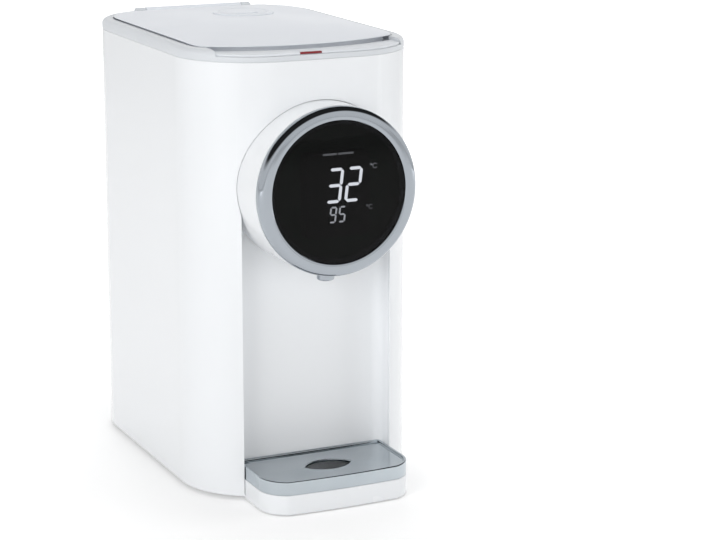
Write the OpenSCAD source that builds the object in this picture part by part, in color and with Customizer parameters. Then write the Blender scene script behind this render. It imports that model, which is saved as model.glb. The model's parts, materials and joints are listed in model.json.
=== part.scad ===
// Electric thermo pot: a five-litre hot water dispenser with a round touch display,
// a cup niche with a drip tray, a hinged lid and a magnet-driven pump.
// Millimetres, +Z up, front towards -Y, the origin on the table under the middle of the whole.

/* [Body] */
// Width of the housing
body_w = 180; // [172:1:200]
// Depth of the housing, without the tray and the display
body_d = 270; // [260:1:300]
// Height of the white shell's upper edge above the table
shell_top = 329.5; // [315:0.5:350]
// Plan radius of the two front corners
corner_front = 60; // [54:1:66]
// Plan radius of the two rear corners
corner_back = 56; // [50:1:62]
// Wall of the shell
wall = 2.6; // [2:0.1:3.2]
// Height of the rubber feet
foot_h = 3; // [2:0.5:5]

/* [Lid and frame] */
// Height of the grey frame above the shell
frame_h = 8; // [7:0.5:10]
// Width of the frame's band round the lid
frame_band = 9; // [7:0.5:11]
// Slope that breaks the frame's outer top edge
frame_bevel = 2.5; // [1.5:0.5:3.5]
// Gap round the lid
lid_gap = 0.8; // [0.6:0.1:1.2]
// Height of the lid's crown above the frame
lid_rise = 5.5; // [4:0.5:7]
// Radius of the lid's crown
crown_r = 1500; // [1300:50:2000]
// Radius of the lid's bowed front edge
lid_front_r = 165; // [150:5:220]
// Distance from the housing's front to the lid's front edge
lid_setback = 23; // [20:0.5:26]
// Finger gap between the lid and the release bar
finger_gap = 5.2; // [4.5:0.1:6]
// Half the width of the release bar
bar_half = 74; // [66:1:78]
// Travel of the release bar
bar_travel = 2; // [1:0.1:2.4]
// Radius of the hinge barrel
barrel_r = 4.5; // [4:0.5:5.5]
// Half the width of the hinge, ears included
hinge_half = 50; // [40:1:56]
// Radius of the hinge pin
hinge_pin_r = 2; // [1.5:0.1:2.5]
// Radius of the steam vent cap
vent_r = 24; // [18:1:27]
// Distance from the housing's right side to the vent cap's centre
vent_side_gap = 78; // [60:1:100]
// Distance from the hinge to the vent cap's centre
vent_setback = 79; // [50:1:95]

/* [Display] */
// Height of the display's centre
dial_z = 237; // [225:1:245]
// Radius of the black glass
glass_r = 52.6; // [46:0.2:56]
// Width of the chrome ring round the glass
ring_w = 9.9; // [8:0.1:11]
// Reach of the ring's face in front of the housing
dial_reach = 33; // [28:0.5:36]
// Depth of the chrome ring's side band
ring_depth = 8.4; // [7:0.2:10]
// Thickness of the glass
glass_t = 2.6; // [2:0.1:3]
// Wall of the collar
collar_wall = 2.5; // [2:0.1:3]
// Height of the large digits
digit_h = 25.6; // [20:0.2:28]
// Height of the small digits
small_digit_h = 12; // [9:0.2:14]
// Slant of the digits in degrees
digit_slant = 7; // [0:1:10]

/* [Niche and tray] */
// Width of the cup niche
niche_w = 120; // [110:1:122]
// Depth of the niche behind the housing's front
niche_depth = 26; // [22:1:30]
// Wall of the niche panel
panel_t = 2.4; // [2:0.1:3]
// Reach of the tray in front of the housing
tray_reach = 41; // [36:1:46]
// Gap between the tray and each side of the niche
tray_gap = 0.6; // [0.4:0.1:1]
// Height of the white tub up to the plate's skirt
tub_h = 16; // [15:0.5:21]
// Height of the tray's top rim
tray_top = 26.6; // [24:0.2:30]
// Plan radius of the tray's front corners
tray_corner = 24; // [18:1:28]
// Wall of the tub
tub_wall = 2.2; // [1.8:0.1:2.6]
// Length of the plate's oval opening
slot_len = 38; // [30:1:44]
// Width of the plate's oval opening
slot_w = 22; // [16:1:26]

/* [Tank and heater] */
// Height of the tank's floor above the table
tank_z = 100; // [96:1:110]
// Wall of the stainless tank
tank_wall = 1; // [0.8:0.1:1.4]
// Gap between the tank and the housing at each side
tank_side_gap = 8; // [7.5:0.5:11]
// Gap between the tank and the housing at the back
tank_back_gap = 13; // [12:0.5:17]
// Gap between the riser tube and the tank
tank_riser_gap = 5.6; // [4.6:0.2:9.6]
// Plan radius of the tank's corners
tank_r = 58; // [50:1:60]
// Radius of the heater plate
heater_r = 58; // [50:1:60]
// Radius of the tubular element's loop
element_loop_r = 44; // [36:1:46]
// Radius of the tubular element
element_r = 3.6; // [3:0.1:4]

/* [Pump and pipes] */
// Radius of the pump chamber outside
pump_r = 24; // [22:0.5:26]
// Radius of the pump motor
motor_r = 16; // [14:0.5:18]
// Radius of the impeller
impeller_r = 17; // [14:0.5:18]
// Number of impeller blades
blades = 6; // [4:1:8]
// Radius of the impeller's shaft
shaft_r = 1.5; // [1.2:0.1:2]
// Outer radius of the riser tube
riser_r = 5; // [4.6:0.1:5.4]
// Bore radius of the riser tube
riser_bore = 3.5; // [3:0.1:3.8]
// Radius of the spout's nozzle
spout_r = 6.5; // [5:0.1:7]

/* [Hidden] */
$fn = 96;
fine_fn = 180;
eps = 0.01;
running = 0.05;
seat = 0.3;

// Colours
white = [0.93, 0.94, 0.95];
frame_grey = [0.83, 0.84, 0.85];
lid_grey = [0.86, 0.87, 0.88];
steel = [0.72, 0.73, 0.75];
silicone = [0.80, 0.80, 0.78];
board_green = [0.10, 0.35, 0.20];
rubber_black = [0.08, 0.08, 0.08];

// Planes of the housing
front_y = -body_d / 2;
back_y = body_d / 2;
frame_top = shell_top + frame_h;
inlet_lip = 1.5;
front_reach = body_d / 2 + tray_reach;
rear_reach = body_d / 2 + inlet_lip;
frame_y = (front_reach - rear_reach) / 2;
niche_back_y = front_y + niche_depth;
panel_back_y = niche_back_y + panel_t;

// Places in the housing, from the niche to the back
riser_panel_gap = 5;
riser_y = panel_back_y + riser_panel_gap + riser_r;
tank_front_y = riser_y + riser_r + tank_riser_gap;
tank_back_y = back_y - tank_back_gap;
tank_w = body_w - 2 * tank_side_gap;
tank_d = tank_back_y - tank_front_y;
tank_mid_y = (tank_front_y + tank_back_y) / 2;
pump_setback = 36;
pump_y = tank_front_y + pump_setback;
heater_pump_gap = 18;
heater_y = pump_y + heater_pump_gap + heater_r;

// Base
pan_t = 2.5;
deck_z = foot_h + pan_t;
pan_gap = 0.3;
pan_rim_h = 12;
pan_rim_t = 2;
tongue_half = 45;
foot_r = 9;
foot_chamfer = 1;
foot_side_gap = 32;
foot_front_gap = 62;
foot_back_gap = 40;
foot_x = body_w / 2 - foot_side_gap;
foot_front_y = front_y + foot_front_gap;
foot_back_y = back_y - foot_back_gap;
toe_r = 7;
toe_x = 30;
toe_setback = 22;
tower_r = 7;
tower_side_gap = 24;
tower_front_gap = 51;
tower_back_gap = 47;
tower_x = tank_w / 2 - tower_side_gap;
tower_front_y = tank_front_y + tower_front_gap;
tower_back_y = tank_back_y - tower_back_gap;
screw_r = 1.5;
screw_bore = 1.62;
screw_head_r = 3.2;
screw_head_h = 2;
screw_len = 12;
cross_len = 4;
cross_w = 0.8;
cross_deep = 1.1;

// Niche
collar_r = glass_r + ring_w;
arch_gap = 0.4;
arch_r = collar_r + arch_gap;
feed_hole_r = 14;

// Display stack, from the housing outwards
ring_face_y = front_y - dial_reach;
collar_front_y = ring_face_y + ring_depth;
shadow_gap = 0.8;
ledge_t = 2.5;
ledge_y = collar_front_y + 6.2;
board_t = 1.6;
board_y = ledge_y - board_t;
spigot_gap = 0.2;
spigot_t = 2;
ring_ledge_t = 2.2;
ring_ledge_in = 3;
ring_round = 2.6;
ring_break = 0.7;
ring_slope = 1;
ring_lip = 1.4;
ring_step = 0.9;
glass_gap = 0.3;
collar_break = 0.6;
collar_ledge_in = 8;
collar_flange_in = 12;
glass_front_y = ring_face_y + 0.8;
glass_back_y = glass_front_y + glass_t;
module_w = 50;
module_h = 62;
module_corner = 4;
module_drop = 2;
chip_w = 18;
chip_h = 12;
chip_t = 3;
chip_drop = 32;
plug_w = 10;
plug_h = 14;
plug_t = 5;
plug_x = 14;
plug_rise = 12;
board_edge_gap = 2.6;
segment_t = 0.3;

// Digits
digit_gap = 1.06;
big_stroke = digit_h * 0.085;
big_w = digit_h * 0.47;
big_mid_x = 4.7;
big_mid_z = 4.8;
small_stroke = small_digit_h * 0.1;
small_w = small_digit_h * 0.46;
small_mid_x = -0.6;
small_mid_z = -16.6;

// Spout and riser
spout_y = front_y - 7;
spout_foot_z = dial_z - collar_r - 7.5;
spout_len = 16;
riser_bend = 12;
riser_low_bend = 9;

// Pump
motor_top_z = 38;
chamber_h = 22;
chamber_wall = 2.5;
chamber_top_z = motor_top_z + chamber_h;
port_z = motor_top_z + chamber_h / 2;
port_r = riser_bore - running;
inlet_stub_r = 5;
inlet_stub_bore = 3.8;
hose_wall = 2.2;

// Tank
tank_flange = 2.4;
flange_t = 1.2;
seal_t = 1.3;
tank_rim_z = shell_top - seal_t;
opening_inset = 5;
heater_t = 3;

// Top frame and lid
frame_floor_t = 2.4;
recess_z = shell_top + frame_floor_t;
lid_z = recess_z + seat;
skirt_h = 8;
skirt_t = 2;
lid_inset = frame_band + lid_gap;
lid_front_y = front_y + lid_setback;
crown_setback = 110;
crown_y = back_y - crown_setback;
crown_top = frame_top + lid_rise;
hinge_y = back_y - 14;
hinge_z = frame_top - 1;
lid_back_y = hinge_y - 1.5;
ear_w = 8;
ear_gap = 0.4;
barrel_half = hinge_half - ear_w - ear_gap;
bar_back_y = lid_front_y - finger_gap;
bar_lip_z = shell_top + 1.6;
bar_z = bar_lip_z + bar_travel + 0.2;
bar_side_gap = 0.5;
bar_t = 1.9;
bar_top = bar_z + bar_t;
bar_break = 0.6;
guard_t = 1;
bar_inset = guard_t + 0.2;
post_x = 36;
post_y = front_y + 11.5;
post_r = 3;
boss_r = 8;
boss_h = 13;
spring_seat_h = 5;
spring_coil_r = 4.5;
spring_wire_r = 0.45;
spring_turns = 4;
liner_t = 1;
liner_gap = 2.5;
liner_depth = 9;
vent_x = body_w / 2 - vent_side_gap;
vent_y = hinge_y - vent_setback;
vent_hole_circle = 9;
vent_hole_r = 2.5;
vent_rise = 0.8;
lid_screw_side_gap = 30;
lid_screw_front_gap = 24;
lid_screw_back_gap = 32;

// Mains inlet
inlet_z = 42;
inlet_w = 30;
inlet_h = 24;
inlet_deep = 24;
inlet_cavity_w = 25;
inlet_cavity_h = 17.5;
inlet_cavity_d = 16;

module at_body() {
    translate([0, frame_y, 0]) children();
}

// Plan of the housing, drawn in by an inset all round
module plan_2d(inset) {
    half_w = body_w / 2 - inset;
    half_d = body_d / 2 - inset;
    rf = corner_front - inset;
    rb = corner_back - inset;
    for (side = [-1, 1]) {
        translate([side * (half_w - rf), rf - half_d]) circle(rf);
        translate([side * (half_w - rb), half_d - rb]) circle(rb);
    }
    translate([rf - half_w, -half_d]) square([2 * (half_w - rf), half_d]);
    translate([rb - half_w, 0]) square([2 * (half_w - rb), half_d]);
    translate([-half_w, rf - half_d]) square([2 * half_w, 2 * half_d - rf - rb]);
}

// Rectangle with round corners, centred
module round_rect_2d(w, d, r) {
    for (sx = [-1, 1], sy = [-1, 1]) {
        translate([sx * (w / 2 - r), sy * (d / 2 - r)]) circle(r);
    }
    square([w - 2 * r, d], center = true);
    square([w, d - 2 * r], center = true);
}

// Prism of a plan outline between two heights
module slab(z0, z1) {
    translate([0, 0, z0]) linear_extrude(z1 - z0) children();
}

// Prism of a front outline (x right, y up) between two depths
module along_y(y0, y1) {
    translate([0, y1, 0]) rotate([90, 0, 0]) linear_extrude(y1 - y0) children();
}

// Turned shape about the display's axis: profile x is the radius, profile y runs to the front
module about_dial() {
    translate([0, 0, dial_z]) rotate([90, 0, 0]) rotate_extrude($fn = fine_fn) children();
}

module rod(z0, z1, r) {
    translate([0, 0, z0]) cylinder(h = z1 - z0, r = r);
}

module rod_x(x0, x1, r) {
    translate([x0, 0, 0]) rotate([0, 90, 0]) cylinder(h = x1 - x0, r = r);
}

// Front outline of the niche: straight sides below the display, round above it
module niche_2d(extra, z0) {
    translate([-niche_w / 2 - extra, z0]) square([niche_w + 2 * extra, dial_z - z0]);
    translate([0, dial_z]) circle(arch_r + extra, $fn = fine_fn);
}

module tank_2d(inset) {
    translate([0, tank_mid_y]) round_rect_2d(tank_w - 2 * inset, tank_d - 2 * inset, tank_r - inset);
}

// Outline of the lid: the housing's plan drawn in, bowed at the front, straight at the hinge
module lid_2d(grow) {
    intersection() {
        plan_2d(lid_inset - grow);
        translate([0, lid_front_y + lid_front_r]) circle(lid_front_r + grow, $fn = 360);
        translate([-body_w, -body_d]) square([2 * body_w, body_d + lid_back_y + grow]);
    }
}

module shell_cavity(z0, z1, gap) {
    slab(z0, z1) plan_2d(wall + gap);
}

// ---- Housing ----

module outer_shell() {
    at_body() color(white) difference() {
        slab(foot_h, shell_top) plan_2d(0);
        shell_cavity(foot_h - eps, shell_top + eps, 0);
        along_y(front_y - 1, 0) niche_2d(0, foot_h - 1);
        translate([-inlet_w / 2 - 0.2, back_y - 2 * wall, inlet_z - inlet_h / 2 - 0.2])
            cube([inlet_w + 0.4, 4 * wall, inlet_h + 0.4]);
    }
}

module niche_panel() {
    at_body() color(white) difference() {
        intersection() {
            along_y(front_y - 1, panel_back_y) niche_2d(panel_t, deck_z + seat);
            shell_cavity(deck_z + seat, shell_top, seat);
        }
        along_y(front_y - 2, niche_back_y) niche_2d(0, 0);
        translate([0, 0, dial_z]) rotate([90, 0, 0])
            cylinder(h = 3 * body_d, r = feed_hole_r, center = true);
        for (turn = [30, 150, 270]) at_collar_screw(turn) rod(-6, 6, screw_bore);
    }
}

// Where the collar is screwed on from behind the niche panel; local z runs to the front
module at_collar_screw(turn) {
    screw_circle = collar_r - collar_wall - 6;
    translate([screw_circle * cos(turn), niche_back_y, dial_z + screw_circle * sin(turn)])
        rotate([90, 0, 0]) children();
}

module at_towers() {
    for (side = [-1, 1], y = [tower_front_y, tower_back_y]) translate([side * tower_x, y, 0]) children();
}

module base_pan() {
    at_body() color(white) difference() {
        union() {
            slab(foot_h, deck_z) difference() {
                plan_2d(wall + pan_gap);
                // The tray's skirt runs in the niche on both sides of the tongue
                translate([-niche_w / 2, front_y]) square([niche_w, niche_depth]);
            }
            difference() {
                slab(foot_h, foot_h + pan_rim_h) plan_2d(wall + pan_gap);
                slab(foot_h, shell_top) plan_2d(wall + pan_gap + pan_rim_t);
                translate([-niche_w / 2 - panel_t - 1, front_y - 1, foot_h])
                    cube([niche_w + 2 * panel_t + 2, niche_depth + 8, pan_rim_h + 1]);
                translate([-inlet_w / 2 - 1, back_y - 10, deck_z]) cube([inlet_w + 2, 12, pan_rim_h]);
            }
            slab(foot_h, deck_z) tongue_2d();
            at_towers() rod(foot_h, tank_z, tower_r);
            translate([0, pump_y, 0]) difference() {
                rod(foot_h, deck_z + 10, motor_r + 2.3);
                rod(deck_z, deck_z + 11, motor_r + 0.2);
            }
            at_board_posts() rod(foot_h, board_post_z, 4);
            stiffener_ribs();
        }
        at_towers() rod(foot_h - 1, foot_h + screw_head_h + 0.3, screw_head_r + 0.3);
        at_towers() rod(foot_h - 1, foot_h + screw_len + 4, screw_bore);
    }
}

module tongue_2d() {
    tongue_front = front_y - tray_reach + 12;
    difference() {
        translate([-tongue_half, tongue_front])
            square([2 * tongue_half, niche_back_y - tongue_front + 10]);
        for (side = [-1, 1]) translate([side * tongue_half, tongue_front]) rotate(45)
            square(12, center = true);
    }
}

// Ribs that run from tower to tower across the pan
module stiffener_ribs() {
    rib_t = 2;
    rib_h = 8;
    for (y = [tower_front_y, tower_back_y]) for (side = [-1, 1])
        translate([side > 0 ? 25 : -tower_x, y - rib_t / 2, foot_h]) cube([tower_x - 25, rib_t, rib_h]);
    for (side = [-1, 1])
        translate([side * tower_x - rib_t / 2, tower_front_y, foot_h])
            cube([rib_t, tower_back_y - tower_front_y, rib_h]);
}

module at_feet() {
    for (side = [-1, 1], y = [foot_front_y, foot_back_y]) translate([side * foot_x, y, 0]) children();
}

module rubber_feet() {
    at_body() color(rubber_black) {
        at_feet() foot(foot_r);
        for (side = [-1, 1]) translate([side * toe_x, front_y - tray_reach + toe_setback, 0]) foot(toe_r);
    }
}

module foot(r) {
    cylinder(h = foot_chamfer, r1 = r - foot_chamfer, r2 = r);
    rod(foot_chamfer, foot_h, r);
}

module base_screws() {
    at_body() color(steel) at_towers() translate([0, 0, foot_h + 0.3]) screw(screw_len);
}

// Screw with its head at the origin, shank upwards
module screw(len) {
    difference() {
        rod(0, screw_head_h, screw_head_r);
        for (turn = [0, 90]) rotate(turn) translate([-cross_len / 2, -cross_w / 2, -eps])
            cube([cross_len, cross_w, cross_deep]);
    }
    rod(screw_head_h - eps, screw_head_h + len, screw_r);
}

// ---- Top frame ----

module top_frame() {
    at_body() color(frame_grey) difference() {
        union() {
            hull() {
                slab(shell_top, frame_top - frame_bevel) plan_2d(0);
                slab(shell_top, frame_top) plan_2d(frame_bevel);
            }
            difference() {
                slab(shell_top - skirt_h, shell_top + 1) plan_2d(wall + 0.2);
                slab(shell_top - skirt_h - 1, shell_top + 2) plan_2d(wall + 0.2 + skirt_t);
            }
            for (side = [-1, 1]) translate([side * post_x, post_y, 0])
                rod(bar_lip_z - boss_h, bar_lip_z, boss_r);
        }
        slab(recess_z, frame_top + 10) lid_2d(lid_gap);
        slab(shell_top - 1, frame_top) tank_2d(opening_inset);
        slab(bar_z, frame_top + 1) bar_bay_2d(-1);
        slab(bar_lip_z, bar_z + eps) bar_bay_2d(guard_t);
        for (side = [-1, 1]) translate([side * post_x, post_y, 0]) {
            rod(bar_lip_z - boss_h - 1, bar_lip_z + 1, post_r + running);
            rod(bar_lip_z - spring_seat_h, bar_lip_z + 1, spring_coil_r + spring_wire_r + 0.5);
        }
        translate([0, hinge_y, hinge_z]) rod_x(-barrel_half - ear_gap, barrel_half + ear_gap, barrel_r + 0.6);
        translate([0, hinge_y, hinge_z]) hinge_pin_bore();
    }
    at_body() color(frame_grey) hinge_ears();
}

// Plan of the bay that the release bar moves in, drawn in from the housing's front
module bar_bay_2d(inset) {
    intersection() {
        plan_2d(inset);
        translate([-bar_half, front_y - 1]) square([2 * bar_half, corner_front]);
        difference() {
            translate([-body_w, -body_d]) square([2 * body_w, body_d]);
            lid_2d(-lid_gap);
        }
    }
}

module hinge_pin_bore() {
    rod_x(-hinge_half + 2, hinge_half - 2, hinge_pin_r + running);
}

// Ears that carry the hinge pin, each one a rounded block on the frame's rear band
module hinge_ears() {
    for (side = [-1, 1]) difference() {
        translate([side > 0 ? hinge_half - ear_w : -hinge_half, hinge_y, hinge_z]) {
            rod_x(0, ear_w, barrel_r);
            translate([0, -barrel_r, recess_z - hinge_z]) cube([ear_w, 2 * barrel_r, hinge_z - recess_z]);
        }
        translate([0, hinge_y, hinge_z]) hinge_pin_bore();
    }
}

// ---- Lid ----

// Dome that gives the lid its crown
module crown() {
    steps = 20;
    reach = body_d * 0.62;
    arc = [for (i = [0 : steps]) let (r = reach * i / steps)
        [r, crown_top - crown_r + sqrt(crown_r * crown_r - r * r)]];
    translate([0, crown_y, 0]) rotate_extrude($fn = fine_fn)
        polygon(concat([[0, lid_z]], arc, [[reach, lid_z]]));
}

module lid_cover() {
    at_body() color(lid_grey) difference() {
        union() {
            intersection() {
                slab(lid_z, crown_top + 1) lid_2d(0);
                crown();
            }
            translate([0, hinge_y, hinge_z]) rod_x(-barrel_half, barrel_half, barrel_r);
            translate([-barrel_half, lid_back_y - 8, hinge_z - 3]) cube([2 * barrel_half, 9, 5]);
        }
        translate([0, hinge_y, hinge_z]) rod_x(-body_w, body_w, hinge_pin_r + running);
        ear_clearance();
        at_vent() rod(lid_z - 1, crown_top, vent_r - 5);
        at_vent() rod(vent_seat_z, crown_top + vent_rise, vent_r + 0.3);
        at_lid_screws() rod(lid_z - 1, lid_z + 5, screw_bore);
    }
}

// Room for the frame's ears beside the barrel
module ear_clearance() {
    for (side = [-1, 1])
        translate([side > 0 ? barrel_half + eps : -hinge_half - ear_gap, lid_back_y - barrel_r, lid_z - 1])
            cube([ear_w + 2 * ear_gap - eps, 4 * barrel_r, 30]);
}

module at_vent() {
    translate([vent_x, vent_y, 0]) children();
}

module at_lid_screws() {
    for (side = [-1, 1], y = [tank_front_y + lid_screw_front_gap, tank_back_y - lid_screw_back_gap])
        translate([side * (tank_w / 2 - lid_screw_side_gap), y, 0]) children();
}

vent_seat_z = crown_top - 4.6;

module lid_liner() {
    at_body() color(steel) difference() {
        union() {
            slab(lid_z - liner_t - seat + 0.3, lid_z) tank_2d(opening_inset + liner_gap);
            difference() {
                slab(lid_z - liner_depth, lid_z) tank_2d(opening_inset + liner_gap);
                slab(lid_z - liner_depth + liner_t, lid_z - liner_t) tank_2d(opening_inset + liner_gap + liner_t);
            }
        }
        at_vent() for (turn = [0 : 60 : 300]) rotate(turn) translate([vent_hole_circle, 0, 0])
            rod(lid_z - liner_depth - 1, lid_z + 1, vent_hole_r);
        at_lid_screws() rod(lid_z - liner_depth - 1, lid_z + 1, screw_bore);
    }
}

module lid_gasket() {
    gasket_h = 3;
    z0 = lid_z - liner_depth + 1;
    at_body() color(silicone) difference() {
        slab(z0, z0 + gasket_h) tank_2d(opening_inset + 0.6);
        slab(z0 - 1, z0 + gasket_h + 1) tank_2d(opening_inset + liner_gap);
    }
}

module lid_screws() {
    at_body() color(steel) at_lid_screws()
        translate([0, 0, lid_z - liner_depth - screw_head_h]) screw(liner_depth + 4);
}

module vent_cap() {
    at_body() color(lid_grey) at_vent() difference() {
        union() {
            rod(vent_seat_z, crown_top + vent_rise, vent_r);
            rod(lid_z + 0.4, vent_seat_z + eps, vent_r - 5.3);
        }
        rod(lid_z, vent_seat_z + 1.4, vent_r - 8);
        // Curved steam slot along the cap's front edge
        slab(vent_seat_z - 1, crown_top + vent_rise + 1) intersection() {
            difference() {
                circle(vent_r - 9.4);
                circle(vent_r - 12.6);
            }
            polygon([[0, 0], [-60, -60], [60, -60]]);
        }
    }
}

module hinge_pin() {
    at_body() color(steel) translate([0, hinge_y, hinge_z])
        rod_x(-hinge_half + 2.3, hinge_half - 2.3, hinge_pin_r);
}

// ---- Release bar ----

module release_bar() {
    at_body() color(frame_grey) {
        difference() {
            intersection() {
                hull() {
                    slab(bar_z, bar_top - bar_break) plan_2d(bar_inset);
                    slab(bar_z, bar_top) plan_2d(bar_inset + bar_break);
                }
                slab(bar_z, bar_top) translate([bar_side_gap - bar_half, front_y - 1])
                    square([2 * (bar_half - bar_side_gap), corner_front]);
            }
            slab(bar_z - 1, bar_top + 1) translate([0, lid_front_y + lid_front_r])
                circle(lid_front_r + finger_gap, $fn = 360);
            lock_pocket();
        }
        for (side = [-1, 1]) translate([side * post_x, post_y, 0])
            rod(bar_lip_z - boss_h + 2, bar_z + eps, post_r);
    }
}

mark_x = -7;
mark_w = 17;
mark_d = 3;
mark_gap = 0.2;
mark_z = bar_z + 0.4;

// Notch in the bar's front edge that holds the red mark
module lock_pocket() {
    translate([mark_x - mark_w / 2 - mark_gap, front_y, mark_z])
        cube([mark_w + 2 * mark_gap, bar_inset + mark_d + mark_gap, bar_t]);
}

module lock_mark() {
    at_body() color([0.65, 0.08, 0.12])
        translate([mark_x - mark_w / 2, front_y + bar_inset, mark_z]) cube([mark_w, mark_d, bar_top - mark_z - 0.1]);
}

module release_springs() {
    at_body() color(steel) for (side = [-1, 1])
        translate([side * post_x, post_y, bar_lip_z - spring_seat_h + spring_wire_r + seat])
            coil_spring(bar_z - bar_lip_z + spring_seat_h - 2 * spring_wire_r - 2 * seat);
}

// Helical spring with its axis along z, swept from points on the helix
module coil_spring(height) {
    sides = 6;
    per_turn = 18;
    rings = spring_turns * per_turn;
    points = [for (i = [0 : rings], k = [0 : sides - 1])
        let (turn = 360 * i / per_turn, a = 360 * k / sides,
             r = spring_coil_r + spring_wire_r * cos(a))
        [r * cos(turn), r * sin(turn), height * i / rings + spring_wire_r * sin(a)]];
    walls = [for (i = [0 : rings - 1], k = [0 : sides - 1])
        let (n = (k + 1) % sides)
        [i * sides + k, (i + 1) * sides + k, (i + 1) * sides + n, i * sides + n]];
    ends = [[for (k = [0 : sides - 1]) k], [for (k = [sides - 1 : -1 : 0]) rings * sides + k]];
    polyhedron(points, concat(walls, ends));
}

// ---- Display ----

module display_collar() {
    back = -niche_back_y;
    front = -collar_front_y;
    ledge = -ledge_y;
    inner = collar_r - collar_wall;
    at_body() color(white) difference() {
        about_dial() polygon([
            [collar_r, back], [collar_r, front - collar_break], [collar_r - collar_break, front],
            [inner, front], [inner, ledge],
            [inner - collar_ledge_in, ledge], [inner - collar_ledge_in, ledge - ledge_t],
            [inner, ledge - ledge_t], [inner, back + ledge_t],
            [inner - collar_flange_in, back + ledge_t], [inner - collar_flange_in, back]
        ]);
        translate([0, spout_y, 0]) rod(spout_foot_z, dial_z, spout_r + 0.2);
        for (turn = [30, 150, 270]) at_collar_screw(turn) rod(-6, 6, screw_bore);
    }
}

module collar_screws() {
    at_body() color(steel) for (turn = [30, 150, 270]) at_collar_screw(turn)
        translate([0, 0, -panel_t - screw_head_h - 0.1]) screw(5);
}

module chrome_ring() {
    gap_front = -collar_front_y + shadow_gap;
    face = -ring_face_y;
    glass_seat = -glass_back_y - 0.2;
    outer_spigot = collar_r - collar_wall - spigot_gap;
    spigot_end = -board_y + 0.4;
    at_body() color([0.75, 0.77, 0.80]) about_dial() polygon([
        [outer_spigot - spigot_t, spigot_end], [outer_spigot, spigot_end],
        [outer_spigot, gap_front], [collar_r, gap_front],
        [collar_r, face - ring_round], [collar_r - ring_break, face - ring_slope],
        [collar_r - ring_round, face],
        [glass_r + ring_lip, face], [glass_r + glass_gap, face - ring_step],
        [glass_r + glass_gap, glass_seat], [glass_r - ring_ledge_in, glass_seat],
        [glass_r - ring_ledge_in, glass_seat - ring_ledge_t],
        [outer_spigot - spigot_t, glass_seat - ring_ledge_t]
    ]);
}

module display_glass() {
    back = -glass_back_y;
    front = -glass_front_y;
    at_body() color([0.03, 0.03, 0.04]) about_dial() polygon([
        [0, back], [glass_r, back], [glass_r, front - 0.5], [glass_r - 0.5, front], [0, front]
    ]);
}

module display_board() {
    at_body() color(board_green) {
        along_y(board_y, ledge_y) translate([0, dial_z]) circle(collar_r - collar_wall - board_edge_gap);
        // Touch controller and connector on the board's back
        translate([-chip_w / 2, ledge_y - eps, dial_z - chip_drop]) cube([chip_w, chip_t, chip_h]);
        translate([plug_x, ledge_y - eps, dial_z + plug_rise]) cube([plug_w, plug_t, plug_h]);
    }
}

module led_module() {
    at_body() color([0.2, 0.2, 0.22]) along_y(glass_back_y + segment_t + 0.1, board_y)
        translate([0, dial_z - module_drop]) round_rect_2d(module_w, module_h, module_corner);
}

// Which bars light for a figure: top, upper right, lower right, bottom, lower left, upper left, middle
FIGURE_2 = [1, 1, 0, 1, 1, 0, 1];
FIGURE_3 = [1, 1, 1, 1, 0, 0, 1];
FIGURE_5 = [1, 0, 1, 1, 0, 1, 1];
FIGURE_9 = [1, 1, 1, 1, 0, 1, 1];

// One bar of a figure, pointed at both ends, along x
module bar_2d(len, stroke) {
    tip = stroke / 2;
    polygon([[-len / 2, 0], [tip - len / 2, tip], [len / 2 - tip, tip],
        [len / 2, 0], [len / 2 - tip, -tip], [tip - len / 2, -tip]]);
}

// Seven-bar figure centred on the origin and leaning to the right
module figure_2d(bars, w, h, stroke) {
    half = (h - stroke) / 2;
    reach = (w - stroke) / 2;
    across = w - stroke * digit_gap;
    up = half - stroke * (digit_gap - 1);
    places = [[0, half, 0], [reach, half / 2, 90], [reach, -half / 2, 90], [0, -half, 0],
        [-reach, -half / 2, 90], [-reach, half / 2, 90], [0, 0, 0]];
    for (i = [0 : 6]) if (bars[i] == 1)
        translate([places[i][0] + places[i][1] * tan(digit_slant), places[i][1]])
            rotate(places[i][2] - (places[i][2] > 0 ? digit_slant : 0))
                bar_2d(places[i][2] > 0 ? up - 0.3 : across - 0.5, stroke);
}

module digit_segments() {
    at_body() color([0.95, 0.97, 1]) along_y(glass_back_y + 0.1, glass_back_y + 0.1 + segment_t)
        translate([0, dial_z]) {
            translate([big_mid_x - big_w * 0.62, big_mid_z]) figure_2d(FIGURE_3, big_w, digit_h, big_stroke);
            translate([big_mid_x + big_w * 0.62, big_mid_z]) figure_2d(FIGURE_2, big_w, digit_h, big_stroke);
            translate([small_mid_x - small_w * 0.65, small_mid_z])
                figure_2d(FIGURE_9, small_w, small_digit_h, small_stroke);
            translate([small_mid_x + small_w * 0.65, small_mid_z])
                figure_2d(FIGURE_5, small_w, small_digit_h, small_stroke);
        }
}

// ---- Spout and pipes ----

module spout_nozzle() {
    at_body() color([0.85, 0.86, 0.88]) translate([0, spout_y, 0]) difference() {
        union() {
            translate([0, 0, spout_foot_z]) cylinder(h = 1.5, r1 = spout_r - 1.2, r2 = spout_r);
            rod(spout_foot_z + 1.5, spout_foot_z + spout_len, spout_r);
            rod(spout_foot_z + spout_len - eps, spout_foot_z + spout_len + 2, spout_r + 1.8);
            rod(spout_foot_z + spout_len, spout_foot_z + spout_len + 12, port_r);
        }
        rod(spout_foot_z - 1, spout_foot_z + spout_len + 13, port_r - 1);
        rod(spout_foot_z - 1, spout_foot_z + 4, port_r + 0.6);
    }
}

// Quarter bend of the riser in the plane x = 0; from_angle is measured from +Y towards +Z
module quarter_bend(y, z, bend, from_angle, r) {
    translate([0, y, z]) rotate([90, 0, 90]) rotate(from_angle)
        rotate_extrude(angle = 90) translate([bend, 0]) circle(r, $fn = 48);
}

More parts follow.
